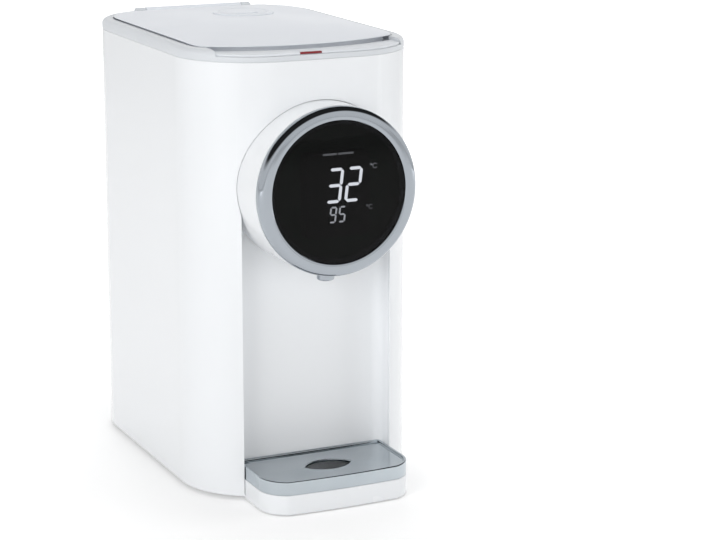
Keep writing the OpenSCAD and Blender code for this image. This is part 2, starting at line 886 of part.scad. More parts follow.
module riser_path(r, extra) {
    top_z = dial_z;
    spout_top = spout_foot_z + spout_len + 2.4;
    low_z = port_z + riser_low_bend;
    translate([0, riser_y, 0]) rod(low_z - eps, top_z - riser_bend + eps, r);
    quarter_bend(riser_y - riser_bend, top_z - riser_bend, riser_bend, 0, r);
    translate([0, riser_y - riser_bend + eps, top_z]) rotate([90, 0, 0])
        cylinder(h = riser_y - spout_y - 2 * riser_bend + 2 * eps, r = r);
    quarter_bend(spout_y + riser_bend, top_z - riser_bend, riser_bend, 90, r);
    translate([0, spout_y, 0]) rod(spout_top - extra, top_z - riser_bend + eps, r);
    quarter_bend(riser_y + riser_low_bend, low_z, riser_low_bend, 180, r);
    translate([0, riser_y + riser_low_bend - eps, port_z]) rotate([-90, 0, 0])
        cylinder(h = pump_y - pump_r - seat - riser_y - riser_low_bend + extra, r = r);
}

module riser_tube() {
    at_body() color(silicone) difference() {
        riser_path(riser_r, 0);
        riser_path(riser_bore, 1);
    }
}

module suction_hose() {
    at_body() color(silicone) translate([0, pump_y, 0]) difference() {
        rod(chamber_top_z + seat, tank_z - seat, inlet_stub_r + running + hose_wall);
        rod(chamber_top_z, tank_z, inlet_stub_r + running);
    }
}

// ---- Pump ----

module pump_motor() {
    at_body() color(steel) translate([0, pump_y, 0]) {
        rod(deck_z, motor_top_z - 3, motor_r);
        rod(motor_top_z - 3 - eps, motor_top_z, motor_r - 3);
        for (side = [-1, 1]) translate([side * motor_r * 0.55 - 1, -3, motor_top_z - 3 - eps]) cube([2, 6, 2]);
    }
}

module pump_housing() {
    cavity_r = pump_r - chamber_wall;
    at_body() color([0.35, 0.36, 0.38]) translate([0, pump_y, 0]) difference() {
        union() {
            rod(motor_top_z, chamber_top_z, pump_r);
            rod(chamber_top_z - 3, chamber_top_z - eps, pump_r + 3);
            rod(chamber_top_z - eps, chamber_top_z + 11, inlet_stub_r);
            translate([0, 0, port_z]) rotate([90, 0, 0]) rod(0, pump_r + 10, port_r);
            translate([0, 0, port_z]) rotate([90, 0, 0]) rod(0, pump_r, riser_r);
        }
        rod(motor_top_z + chamber_wall, chamber_top_z - chamber_wall, cavity_r);
        rod(chamber_top_z - chamber_wall - 1, chamber_top_z + 12, inlet_stub_bore);
        translate([0, 0, port_z]) rotate([90, 0, 0]) rod(0, pump_r + 11, port_r - 1);
        rod(motor_top_z + 1, chamber_top_z, shaft_r + 0.03);
    }
    // Spider across the inlet that holds the shaft's upper end
    at_body() color([0.35, 0.36, 0.38]) translate([0, pump_y, chamber_top_z - chamber_wall]) difference() {
        union() {
            rod(0, chamber_wall, 2.6);
            for (turn = [0, 90]) rotate(turn) translate([-inlet_stub_bore - 0.2, -0.5, 0])
                cube([2 * inlet_stub_bore + 0.4, 1, chamber_wall]);
        }
        rod(-1, chamber_wall + 1, shaft_r + 0.03);
    }
}

module impeller_shaft() {
    at_body() color(steel) translate([0, pump_y, 0])
        rod(motor_top_z + 1.05, chamber_top_z - 0.3, shaft_r);
}

module impeller() {
    disc_z = motor_top_z + chamber_wall + 0.4;
    at_body() color([0.2, 0.3, 0.5]) translate([0, pump_y, 0]) difference() {
        union() {
            rod(disc_z, disc_z + 3, impeller_r);
            rod(disc_z, chamber_top_z - chamber_wall - 0.4, 4);
            for (i = [0 : blades - 1]) rotate(360 * i / blades)
                translate([3, -0.8, disc_z]) cube([impeller_r - 4, 1.6, 11]);
        }
        rod(disc_z - 1, chamber_top_z, shaft_r + running);
    }
}

// ---- Tank and heater ----

module inner_tank() {
    at_body() color(steel) difference() {
        union() {
            slab(tank_z, tank_rim_z) tank_2d(0);
            slab(tank_rim_z - flange_t, tank_rim_z) tank_2d(-tank_flange);
            translate([0, pump_y, 0]) rod(tank_z - 10, tank_z + eps, inlet_stub_r);
        }
        slab(tank_z + tank_wall, tank_rim_z + 1) tank_2d(tank_wall);
        translate([0, pump_y, 0]) rod(tank_z - 11, tank_z + 2, inlet_stub_r - 1);
        at_sensor() rod(tank_z - 1, tank_z + 2, 4.2);
    }
}

module at_sensor() {
    translate([-34, pump_y, 0]) children();
}

module tank_seal() {
    at_body() color(silicone) difference() {
        slab(tank_rim_z, shell_top) tank_2d(-tank_flange);
        slab(tank_rim_z - 1, shell_top + 1) tank_2d(tank_wall + 1);
    }
}

module heater() {
    plate_z = tank_z - heater_t;
    at_body() color([0.6, 0.6, 0.62]) translate([0, heater_y, 0]) {
        rod(plate_z, tank_z, heater_r);
        translate([0, 0, plate_z - element_r * 0.6]) rotate(105) rotate_extrude(angle = 330)
            translate([element_loop_r, 0]) circle(element_r, $fn = 48);
        // Terminals at the two ends of the loop
        for (turn = [105, 75]) rotate(turn) translate([element_loop_r, 0, 0])
            rod(plate_z - element_r - 10, plate_z - element_r * 0.6, 2.2);
    }
}

cutout_x = 18;
cutout_r = 8;
cutout_h = 8;
tab_x = 5;
tab_t = 0.8;
tab_w = 6;
tab_len = 6;

module thermal_cutouts() {
    at_body() color([0.15, 0.15, 0.16]) for (side = [-1, 1]) translate([side * cutout_x, heater_y, tank_z - heater_t]) {
        rod(-cutout_h, 0, cutout_r);
        for (end = [-1, 1]) translate([end * tab_x - tab_t / 2, -tab_w / 2, -cutout_h - tab_len])
            cube([tab_t, tab_w, tab_len + eps]);
    }
}

module temperature_sensor() {
    at_body() color(steel) at_sensor() {
        rod(tank_z - 3, tank_z, 8);
        rod(tank_z - eps, tank_z + 8, 4);
        rod(tank_z - 9, tank_z - 3 + eps, 5);
    }
}

// ---- Electrics ----

power_board_w = 96;
power_board_d = 52;
board_grid = power_board_d / 26;
board_back_gap = 25;
power_board_y = back_y - board_back_gap - power_board_d / 2;
board_post_z = 16;
board_post_in = 6;

module at_board_posts() {
    for (sx = [-1, 1], sy = [-1, 1])
        translate([sx * (power_board_w / 2 - board_post_in), power_board_y, 0])
            translate([0, sy * (power_board_d / 2 - board_post_in), 0]) children();
}

// A part on the power board: its place, then its size or its height and radius, all in grid steps
module board_block(place, size) {
    translate(concat(place, 0) * board_grid) cube(size * board_grid);
}

module board_can(place, h, r) {
    translate(concat(place, 0) * board_grid) rod(0, h * board_grid, r * board_grid);
}

// Board with a transformer, a relay, a heat sink and two capacitors
module power_board() {
    top = board_post_z + board_t;
    at_body() color(board_green) translate([0, power_board_y, 0]) {
        slab(board_post_z, top) square([power_board_w, power_board_d], center = true);
        translate([0, 0, top - eps]) {
            board_block([-19, -8], [14, 12, 10]);
            board_block([-2, -9], [8, 6, 7.5]);
            board_block([12, -7], [1.5, 14, 11]);
            board_can([4, 6], 11, 3.5);
            board_can([19, -4], 7, 2.5);
        }
    }
}

module mains_inlet() {
    at_body() color(rubber_black) difference() {
        union() {
            along_y(back_y - inlet_deep, back_y + eps) translate([0, inlet_z]) square([inlet_w, inlet_h], center = true);
            along_y(back_y, back_y + inlet_lip) translate([0, inlet_z]) round_rect_2d(inlet_w + 6, inlet_h + 6, 3);
        }
        along_y(back_y + inlet_lip - inlet_cavity_d, back_y + inlet_lip + 1) translate([0, inlet_z]) inlet_2d();
    }
}

// Mouth of the inlet: a rectangle with its two lower corners cut
module inlet_2d() {
    w = inlet_cavity_w / 2;
    h = inlet_cavity_h / 2;
    cut = 5;
    polygon([[-w, h], [w, h], [w, cut - h], [w - cut, -h], [cut - w, -h], [-w, cut - h]]);
}

module inlet_pins() {
    floor_y = back_y + inlet_lip - inlet_cavity_d;
    at_body() color(steel) for (pin = [[-7, 0], [7, 0], [0, 4]])
        along_y(floor_y, floor_y + 12) translate([pin[0], inlet_z + pin[1]]) square([2, 4], center = true);
}

// ---- Drip tray ----

tray_half = niche_w / 2 - tray_gap;
tray_back_y = niche_back_y - 1;
tray_front_y = front_y - tray_reach;
tray_bow = 3;
tub_floor_z = deck_z + 0.4;
tub_floor_t = 2;
tub_skirt_z = 0.8;
plate_t = 1.2;
plate_recess = 1.8;

// Plan of the tray: square at the back, round at the front corners, with a bowed front
module tray_2d(inset) {
    half = tray_half - inset;
    front = tray_front_y + inset;
    r = tray_corner - inset;
    bow_r = (pow(half, 2) + pow(tray_bow, 2)) / (2 * tray_bow);
    intersection() {
        union() {
            translate([-half, front + r]) square([2 * half, tray_back_y - inset - front - r]);
            translate([r - half, front]) square([2 * (half - r), tray_corner]);
            for (side = [-1, 1]) translate([side * (half - r), front + r]) circle(r);
        }
        translate([0, front + bow_r]) circle(bow_r, $fn = 360);
    }
}

module drip_tray() {
    at_body() color(white) difference() {
        union() {
            slab(tub_skirt_z, tub_h) tray_2d(0);
            slab(tub_h - eps, tray_top - plate_recess - plate_t) tray_2d(plate_t + 0.4);
        }
        slab(tub_floor_z + tub_floor_t, tray_top) tray_2d(plate_t + 0.4 + tub_wall);
        slab(0, tub_floor_z) tray_2d(tub_wall);
        // The skirt's back is open, so that the tub slides over the pan's tongue
        translate([-tongue_half - 2, tray_back_y - 5, 0]) cube([2 * tongue_half + 4, 10, tub_floor_z]);
    }
}

module drip_plate() {
    deck_top = tray_top - plate_recess;
    at_body() color(steel) difference() {
        slab(tub_h + 0.2, tray_top) tray_2d(0);
        slab(deck_top, tray_top + 1) tray_2d(2.4);
        slab(tub_h, deck_top - plate_t) tray_2d(plate_t);
        translate([0, slot_y, 0]) slab(tub_h, tray_top + 1) oval_2d(slot_len, slot_w);
    }
}

slot_y = spout_y - 3;

// Oval of two end arcs and two flatter sides
module oval_2d(len, w) {
    side_r = (len * len + w * w) / (4 * w);
    intersection() {
        translate([0, side_r - w / 2]) circle(side_r, $fn = fine_fn);
        translate([0, w / 2 - side_r]) circle(side_r, $fn = fine_fn);
    }
}

outer_shell();
niche_panel();
base_pan();
rubber_feet();
base_screws();
top_frame();
inner_tank();
tank_seal();
heater();
thermal_cutouts();
temperature_sensor();
pump_motor();
pump_housing();
impeller();
impeller_shaft();
suction_hose();
riser_tube();
spout_nozzle();
display_collar();
collar_screws();
chrome_ring();
display_glass();
display_board();
led_module();
digit_segments();
power_board();
mains_inlet();
inlet_pins();
lid_cover();
lid_liner();
lid_gasket();
lid_screws();
vent_cap();
hinge_pin();
release_bar();
release_springs();
lock_mark();
drip_tray();
drip_plate();
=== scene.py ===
"""Hot water dispenser with a round display: finished surfaces over its jointed frame."""

import json
import math

import bmesh
import bpy
import numpy as np
from bpy.props import FloatProperty, FloatVectorProperty, IntProperty, PointerProperty
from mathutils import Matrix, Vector


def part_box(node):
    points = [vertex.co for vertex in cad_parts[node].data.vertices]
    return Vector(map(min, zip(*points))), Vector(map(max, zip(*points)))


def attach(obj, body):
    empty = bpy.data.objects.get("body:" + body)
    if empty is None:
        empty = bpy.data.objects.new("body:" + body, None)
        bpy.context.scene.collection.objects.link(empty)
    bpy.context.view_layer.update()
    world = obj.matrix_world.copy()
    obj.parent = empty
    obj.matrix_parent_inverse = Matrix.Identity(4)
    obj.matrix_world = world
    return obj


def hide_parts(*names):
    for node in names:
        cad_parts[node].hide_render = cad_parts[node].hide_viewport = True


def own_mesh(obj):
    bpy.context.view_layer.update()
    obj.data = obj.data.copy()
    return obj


bl_info = {
    "name": "Thermo Pot",
    "version": (1, 0, 0),
    "blender": (4, 5, 0),
    "location": "View3D > Sidebar > Thermo Pot",
    "description": "Shapes, finishes and studio of a hot water dispenser with a round display",
    "category": "Add Mesh",
}

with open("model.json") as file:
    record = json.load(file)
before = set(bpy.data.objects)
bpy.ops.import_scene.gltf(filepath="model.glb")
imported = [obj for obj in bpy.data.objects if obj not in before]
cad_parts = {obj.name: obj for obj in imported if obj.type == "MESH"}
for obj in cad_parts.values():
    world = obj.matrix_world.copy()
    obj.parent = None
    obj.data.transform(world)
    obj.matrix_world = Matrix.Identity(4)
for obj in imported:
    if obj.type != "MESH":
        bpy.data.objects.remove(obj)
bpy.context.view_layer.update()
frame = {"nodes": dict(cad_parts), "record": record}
MM = 0.001
TURN = 2 * math.pi

# ---- Places and sizes in millimetres, from the frame where it can be asked ----


def corners(node):
    low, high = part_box(node)
    return low / MM, high / MM


def plan_middle(node):
    """Middle of a node's plan, measured from the middle of the housing."""
    low, high = corners(node)
    return (low.x + high.x) / 2, (low.y + high.y) / 2 - MID_Y


SHELL_LOW, SHELL_HIGH = corners("outer_shell")
HALF_W = (SHELL_HIGH.x - SHELL_LOW.x) / 2
HALF_D = (SHELL_HIGH.y - SHELL_LOW.y) / 2
MID_Y = (SHELL_HIGH.y + SHELL_LOW.y) / 2
FRONT_Y = -HALF_D
FOOT_Z = SHELL_LOW.z
SHELL_Z = SHELL_HIGH.z
CORNER_FRONT = 60.0
CORNER_BACK = 56.0
WALL = 2.6
BODY_CENTRE = (0.0, 10.0)

RING_LOW, RING_HIGH = corners("chrome_ring")
DIAL_R = (RING_HIGH.x - RING_LOW.x) / 2
DIAL_Z = (RING_HIGH.z + RING_LOW.z) / 2
RING_FACE_Y = RING_LOW.y - MID_Y
COLLAR_LOW, COLLAR_HIGH = corners("display_collar")
COLLAR_FRONT_Y = COLLAR_LOW.y - MID_Y
NICHE_BACK_Y = COLLAR_HIGH.y - MID_Y
GLASS_LOW, GLASS_HIGH = corners("display_glass")
GLASS_R = (GLASS_HIGH.x - GLASS_LOW.x) / 2
GLASS_FRONT_Y = GLASS_LOW.y - MID_Y
GLASS_BACK_Y = GLASS_HIGH.y - MID_Y

FRAME_Z = 337.5
RECESS_Z = 331.9
LID_Z = 332.2
LID_INSET = 9.8
LID_GAP = 0.8
LID_FRONT_R = 165.0
LID_FRONT_Y = FRONT_Y + 23
LID_BACK_Y = 119.5
CROWN_Z = 343.0
LID_RIM_FRONT = 0.3
LID_RIM_BACK = 1.3
HINGE_Y = 121.0
HINGE_Z = 336.5
BARREL_R = corners("lid_cover")[1].y - MID_Y - HINGE_Y
BARREL_HALF = 41.6
EAR_W = 8.0
HINGE_HALF = 50.0

TRAY_LOW, TRAY_HIGH = corners("drip_tray")
TRAY_HALF = (TRAY_HIGH.x - TRAY_LOW.x) / 2
TRAY_FRONT_Y = TRAY_LOW.y - MID_Y
TRAY_BACK_Y = TRAY_HIGH.y - MID_Y
TRAY_CORNER = 24.0
TRAY_BOW = 3.0
TRAY_STEP_Z = corners("drip_plate")[0].z - 0.2
SLOT_Y = -145.0
NICHE_HALF = 60.0
NICHE_CUT_Y = -95.0
NICHE_EDGE_Y = -126.5
PANEL_WALL = 2.4
ARCH_R = DIAL_R + 0.4

BAR_LOW, BAR_HIGH = corners("release_bar")
BAR_INSET = 1.2
POST_X = 36.0
POST_Y = FRONT_Y + 11.5
BAR_FOOT_Z = 333.3
BAY_FLOOR_Z = 331.1
BAY_HALF = 74.0
BAY_BACK_Y = -93.0
GUARD = 1.0

TANK_LOW, TANK_HIGH = corners("inner_tank")
TANK_MID_Y = 18.0
TANK_W = 164.0
TANK_D = 208.0
TANK_R = 58.0
TANK_FLOOR_Z = 100.0
PUMP_Y = plan_middle("suction_hose")[1]
SENSOR_X = -34.0
INLET_Z = 42.0
FIGURE_SPLIT_Z = 227.7

VENT_LOW, VENT_HIGH = corners("vent_cap")
VENT = plan_middle("vent_cap")
VENT_R = (VENT_HIGH.x - VENT_LOW.x) / 2
VENT_SEAT_Z = VENT_HIGH.z - 5.4

# Directions of corners that an outline has to meet, in degrees
LID_CORNERS = (58.0, 122.0)
TRAY_CORNERS = (30.5, 149.5)

REACH = 400.0
HALVINGS = 44
BEVEL_STEPS = 3
CAPPED = {"cap_first": True, "cap_last": True}


# ---- Outlines: each says whether a plan point lies inside, in millimetres ----


def rounded_box(x, y, half_x, half_y, radius):
    qx = np.abs(x) - (half_x - radius)
    qy = np.abs(y) - (half_y - radius)
    outside = np.hypot(np.maximum(qx, 0), np.maximum(qy, 0))
    return outside + np.minimum(np.maximum(qx, qy), 0) <= radius


def plan_inside(x, y, inset):
    radius = np.where(y < 0, CORNER_FRONT, CORNER_BACK) - inset
    return rounded_box(x, y, HALF_W - inset, HALF_D - inset, radius)


def lid_inside(x, y, inset):
    bowed = np.hypot(x, y - LID_FRONT_Y - LID_FRONT_R) <= LID_FRONT_R - inset
    return plan_inside(x, y, LID_INSET + inset) & bowed & (y <= LID_BACK_Y - inset)


def tank_inside(x, y, inset):
    return rounded_box(x, y - TANK_MID_Y, TANK_W / 2 - inset, TANK_D / 2 - inset, TANK_R - inset)


def tray_inside(x, y, inset):
    half = TRAY_HALF - inset
    front = TRAY_FRONT_Y + inset
    radius = TRAY_CORNER - inset
    bow = (half * half + TRAY_BOW * TRAY_BOW) / (2 * TRAY_BOW)
    qx = np.abs(x) - (half - radius)
    qy = front + radius - y
    corner = (qx <= 0) | (qy <= 0) | (np.hypot(qx, qy) <= radius)
    box = (np.abs(x) <= half) & (y >= front) & (y <= TRAY_BACK_Y - inset)
    return corner & box & (np.hypot(x, y - front - bow) <= bow)


def oval_inside(x, y, inset, length=38.0, width=22.0):
    radius = (length * length + width * width) / (4 * width)
    dy = y - SLOT_Y
    centre = radius - width / 2
    return (np.hypot(x, dy - centre) <= radius - inset) & (np.hypot(x, dy + centre) <= radius - inset)


def niche_inside(x, z, inset, floor=5.8):
    straight = (np.abs(x) <= NICHE_HALF - inset) & (z >= floor) & (z <= DIAL_Z)
    return straight | (np.hypot(x, z - DIAL_Z) <= ARCH_R - inset)


def inlet_inside(x, z, inset, half_w=18.0, half_h=15.0, radius=3.0):
    return rounded_box(x, z - INLET_Z, half_w - inset, half_h - inset, radius - min(inset, 2.0))


def socket_inside(x, z, inset):
    half_w, half_h, slope = 12.5 - inset, 8.75 - inset, 5.0
    box = (np.abs(x) <= half_w) & (np.abs(z - INLET_Z) <= half_h)
    return box & (np.abs(x) + INLET_Z - z <= half_w + half_h - slope)


def bay_inside(x, y, inset):
    return plan_inside(x, y, inset) & (np.abs(x) <= BAY_HALF) & (y <= BAY_BACK_Y)


def outline(inside, inset, centre, count, extra=()):
    """Points where rays from the centre leave the outline, counter-clockwise."""
    angles = np.sort(np.concatenate([np.arange(count) * TURN / count, np.radians(extra) % TURN]))
    cosines, sines = np.cos(angles), np.sin(angles)
    near, far = np.zeros(len(angles)), np.full(len(angles), REACH)
    for _ in range(HALVINGS):
        middle = (near + far) / 2
        hit = inside(centre[0] + middle * cosines, centre[1] + middle * sines, inset)
        near, far = np.where(hit, middle, near), np.where(hit, far, middle)
    return np.c_[centre[0] + near * cosines, centre[1] + near * sines]


def bent_strip(centre, near, far, start, end, steps=24):
    """Outline of a strip that follows an arc between two radii, with round ends; angles in degrees."""
    middle, half = (near + far) / 2, (far - near) / 2
    points = []
    for radius, sweep in ((far, (start, end)), (near, (end, start))):
        angles = np.radians(np.linspace(*sweep, steps))
        points += [(radius * math.cos(a), radius * math.sin(a)) for a in angles]
        tip = math.radians(sweep[1])
        cx, cy = middle * math.cos(tip), middle * math.sin(tip)
        first = tip if radius == far else tip + math.pi
        points += [(cx + half * math.cos(first + k), cy + half * math.sin(first + k))
                   for k in np.linspace(0, math.pi, 8)[1:-1]]
    return np.array(points) + centre


def level(points, z):
    """Plan points lifted to a height; z is one number or one for each point."""
    return np.c_[points, np.broadcast_to(z, len(points))]


def standing(points, y):
    """Points of an upright outline set at a depth."""
    return np.c_[points[:, 0], np.full(len(points), y), points[:, 1]]


def profile_loops(inside, profile, centre, count, extra=()):
    """A loop of the plan outline for each inset and height of the profile."""
    return [level(outline(inside, inset, centre, count, extra), z) for inset, z in profile]


def above(base, *steps):
    """Profile points whose second value is counted from a base."""
    return [(first, base + rise) for first, rise in steps]


def quarter(start, end, steps, bulge_first):
    """Points of a quarter round from start to end; the first coordinate moves first if bulge_first."""
    (a0, b0), (a1, b1) = start, end
    points = []
    for i in range(1, steps):
        t = i / steps * math.pi / 2
        fast, slow = math.sin(t), 1 - math.cos(t)
        ta, tb = (fast, slow) if bulge_first else (slow, fast)
        points.append((a0 + (a1 - a0) * ta, b0 + (b1 - b0) * tb))
    return [start] + points + [end]


# ---- Modelling by hand, in small steps ----


def deselect():
    if bpy.context.object and bpy.context.object.mode != "OBJECT":
        bpy.ops.object.mode_set(mode="OBJECT")
    bpy.ops.object.select_all(action="DESELECT")


def pick(obj):
    deselect()
    obj.select_set(True)
    bpy.context.view_layer.objects.active = obj
    return obj


def named(name):
    obj = bpy.context.object
    obj.name = obj.data.name = name
    return obj


def edit(obj, mode="VERT"):
    pick(obj)
    bpy.ops.object.mode_set(mode="EDIT")
    bpy.ops.mesh.select_mode(type=mode)
    return bmesh.from_edit_mesh(obj.data)


def leave():
    bpy.ops.object.mode_set(mode="OBJECT")


def merge(gap):
    """Merges all points of the edited mesh that lie closer than a gap, in metres."""
    bpy.ops.mesh.select_all(action="SELECT")
    bpy.ops.mesh.remove_doubles(threshold=gap)


def loft(name, loops, cap_first=False, cap_last=False, closed=False):
    """A ring laid on the first loop and extruded to each further one. Loops are in millimetres."""
    count = len(loops[0])
    deselect()
    bpy.ops.mesh.primitive_circle_add(vertices=count, radius=1)
    obj = named(name)
    bm = edit(obj)
    ring = list(bm.verts)
    follow_order(ring)
    lay(ring, loops[0])
    if cap_first:
        bpy.ops.mesh.select_all(action="SELECT")
        bpy.ops.mesh.edge_face_add()
    for loop in loops[1:]:
        bm = bmesh.from_edit_mesh(obj.data)
        bm.verts.ensure_lookup_table()
        old = [v.index for v in ring]
        bpy.ops.mesh.select_all(action="DESELECT")
        bm.select_mode = {"EDGE"}
        for a, b in zip(ring, ring[1:] + ring[:1]):
            bm.edges.get((a, b)).select_set(True)
        bpy.ops.mesh.extrude_edges_indiv()
        bm = bmesh.from_edit_mesh(obj.data)
        bm.verts.ensure_lookup_table()
        ring = [new_end(bm.verts[i]) for i in old]
        lay(ring, loop)
    if cap_last:
        bpy.ops.mesh.edge_face_add()
    if closed:
        merge(1e-6)
    bmesh.update_edit_mesh(obj.data)
    bpy.ops.mesh.select_all(action="SELECT")
    bpy.ops.mesh.normals_make_consistent(inside=False)
    leave()
    return obj


def follow_order(ring):
    """Puts the ring's vertices in the order in which its edges join them."""
    order = [ring[0]]
    seen = {ring[0]}
    while len(order) < len(ring):
        step = [e.other_vert(order[-1]) for e in order[-1].link_edges]
        step = [v for v in step if v not in seen]
        order.append(step[0])
        seen.add(step[0])
    ring[:] = order


def new_end(vert):
    for e in vert.link_edges:
        other = e.other_vert(vert)
        if other.select and not vert.select:
            return other
    raise RuntimeError("the extruded ring lost a vertex")


def lay(ring, points):
    for v, p in zip(ring, points):
        v.co = Vector((p[0], p[1] + MID_Y, p[2])) * MM


def turned(name, profile, count=160, **caps):
    """A shape turned about the display's axis; the profile is radius, depth."""
    t = np.arange(count) * TURN / count
    loops = [standing(np.c_[r * np.cos(t), DIAL_Z + r * np.sin(t)], y) for r, y in profile]
    return loft(name, loops, **caps)


def upright(name, place, profile, count=96, **caps):
    """A shape turned about a vertical axis at a plan place; the profile is radius, height."""
    t = np.arange(count) * TURN / count
    loops = [level(np.c_[place[0] + r * np.cos(t), place[1] + r * np.sin(t)], z) for r, z in profile]
    return loft(name, loops, **caps)


def rod(name, place, radius, low, high, count=96):
    return upright(name, place, [(radius, low), (radius, high)], count, **CAPPED)


def bar_x(name, y, z, radius, x0, x1, count=64, bevel=0.6):
    """A round bar along x with broken ends."""
    t = np.arange(count) * TURN / count
    stations = [(radius - bevel, x0), (radius, x0 + bevel), (radius, x1 - bevel), (radius - bevel, x1)]
    loops = [np.c_[np.full(count, x), y + r * np.cos(t), z + r * np.sin(t)] for r, x in stations]
    return loft(name, loops, **CAPPED)


def block(name, low, high, bevel=0.0):
    """A box between two corners with rounded edges."""
    deselect()
    low, high = np.array(low, float), np.array(high, float)
    bpy.ops.mesh.primitive_cube_add(size=1)
    obj = named(name)
    edit(obj)
    middle = ((high + low) / 2 + (0, MID_Y, 0)) * MM
    bpy.ops.transform.resize(value=tuple((high - low) * MM))
    bpy.ops.transform.translate(value=tuple(middle))
    if bevel:
        bpy.ops.mesh.bevel(offset=bevel * MM, segments=BEVEL_STEPS, affect="EDGES")
    leave()
    return obj


def apply_modifier(obj, kind, **settings):
    pick(obj)
    modifier = obj.modifiers.new(kind.title(), kind)
    for key, value in settings.items():
        setattr(modifier, key, value)
    bpy.ops.object.modifier_apply(modifier=modifier.name)


def cut(obj, *tools):
    """Takes the tools' shapes out of the object and deletes the tools."""
    for tool in tools:
        apply_modifier(obj, "BOOLEAN", operation="DIFFERENCE", object=tool, solver="EXACT")
        bpy.data.objects.remove(tool)
    edit(obj)
    merge(2e-6)
    leave()


def join(obj, *others):
    pick(obj)
    for o in others:
        o.select_set(True)
    bpy.ops.object.join()
    return obj


def dress(obj, finish_name):
    obj.data.materials.clear()
    obj.data.materials.append(FINISHES[finish_name])


def finish(obj, body, finish_name, replaced=(), angle=32):
    """Smooths the piece, gives it its finish and fastens it to its body."""
    pick(obj)
    bpy.ops.object.shade_smooth_by_angle(angle=math.radians(angle))
    dress(obj, finish_name)
    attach(obj, body)
    if replaced:
        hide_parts(*replaced)


# ---- Finishes ----


def feed(tree, socket, value):
    """Links a value to a socket, or sets the socket where the value is a constant."""
    if isinstance(value, bpy.types.NodeSocket):
        tree.links.new(value, socket)
    else:
        socket.default_value = value


def give(tree, node, values):
    for name, value in values.items():
        feed(tree, node.inputs[name], value)


def group_tree(name, inputs, outputs):
    tree = bpy.data.node_groups.new(name, "ShaderNodeTree")
    for label, value in inputs.items():
        tree.interface.new_socket(label, in_out="INPUT", socket_type="NodeSocketFloat").default_value = value
    for label in outputs:
        tree.interface.new_socket(label, in_out="OUTPUT", socket_type="NodeSocketFloat")
    return tree, tree.nodes.new("NodeGroupInput").outputs, tree.nodes.new("NodeGroupOutput")


def object_place(tree):
    return tree.nodes.new("ShaderNodeTexCoord").outputs["Object"]


def maths(tree, kind, operation, *values):
    """A maths node with its inputs fed in order."""
    node = tree.nodes.new("ShaderNode" + kind)
    node.operation = operation
    for socket, value in zip(node.inputs, values):
        feed(tree, socket, value)
    return node


def noise(tree, vector, scale, detail=2.0, rough=0.5):
    node = tree.nodes.new("ShaderNodeTexNoise")
    give(tree, node, {"Vector": vector, "Scale": scale, "Detail": detail, "Roughness": rough})
    return node.outputs["Fac"]


def spread(tree, value, low, high, from_low=0.3, from_high=0.7):
    """Stretches a value from one range to another, and holds it there."""
    node = tree.nodes.new("ShaderNodeMapRange")
    give(tree, node, {"Value": value, "From Min": from_low, "From Max": from_high,
                      "To Min": low, "To Max": high})
    return node.outputs["Result"]


def moulded_group():
    """Moulded plastic: cloudy gloss, fine grain and a slow waviness of the skin."""
    tree, given, out = group_tree(
        "Moulded skin", {"Grain scale": GRAIN, "Gloss low": 0.2, "Gloss high": 0.3, "Wave": 0.3}, SKIN)
    place = object_place(tree)
    clouds = noise(tree, place, 14.0, 3.0, 0.6)
    grain = noise(tree, place, given["Grain scale"])
    slow = noise(tree, place, 22.0, 1.0)
    height = maths(tree, "Math", "MULTIPLY_ADD", slow, given["Wave"], grain)
    gloss = spread(tree, clouds, given["Gloss low"], given["Gloss high"])
    give(tree, out, {"Roughness": gloss, "Height": height.outputs[0], "Clouds": clouds})
    return tree


def brushed_group():
    """Brushed metal: long fine scratches along one axis and cloudy gloss."""
    tree, given, out = group_tree(
        "Brushed skin", {"Along x": BRUSHED[0], "Along y": BRUSHED[1], "Along z": BRUSHED[2],
                         "Gloss low": 0.2, "Gloss high": 0.34}, SKIN)
    place = object_place(tree)
    stretch = tree.nodes.new("ShaderNodeCombineXYZ")
    give(tree, stretch, {axis.upper(): given["Along " + axis] for axis in "xyz"})
    scaled = maths(tree, "VectorMath", "MULTIPLY", place, stretch.outputs[0])
    scratches = noise(tree, scaled.outputs[0], 1.0, 3.0, 0.7)
    gloss = spread(tree, scratches, given["Gloss low"], given["Gloss high"])
    give(tree, out, {"Roughness": gloss, "Height": scratches, "Clouds": noise(tree, place, 30.0)})
    return tree


def edge_group():
    """Where a convex edge is rubbed: one on the edge, nought elsewhere."""
    tree, given, out = group_tree("Rubbed edge", {"Low": 0.52, "High": 0.62}, ["Mask"])
    sharp = tree.nodes.new("ShaderNodeNewGeometry").outputs["Pointiness"]
    patch = spread(tree, noise(tree, object_place(tree), 60.0, 3.0), 0.3, 1.0)
    edge = spread(tree, sharp, 0.0, 1.0, given["Low"], given["High"])
    give(tree, out, {"Mask": maths(tree, "Math", "MULTIPLY", edge, patch).outputs[0]})
    return tree


SKIN = ("Roughness", "Height", "Clouds")
GROUPS = {}
FINISHES = {}

# Scales of the grain and of the scratches along x, y and z, and the grain's depth in metres
GRAIN = 1800.0
BRUSHED = (20.0, 1200.0, 1200.0)
GRAIN_DEPTH = 2e-5

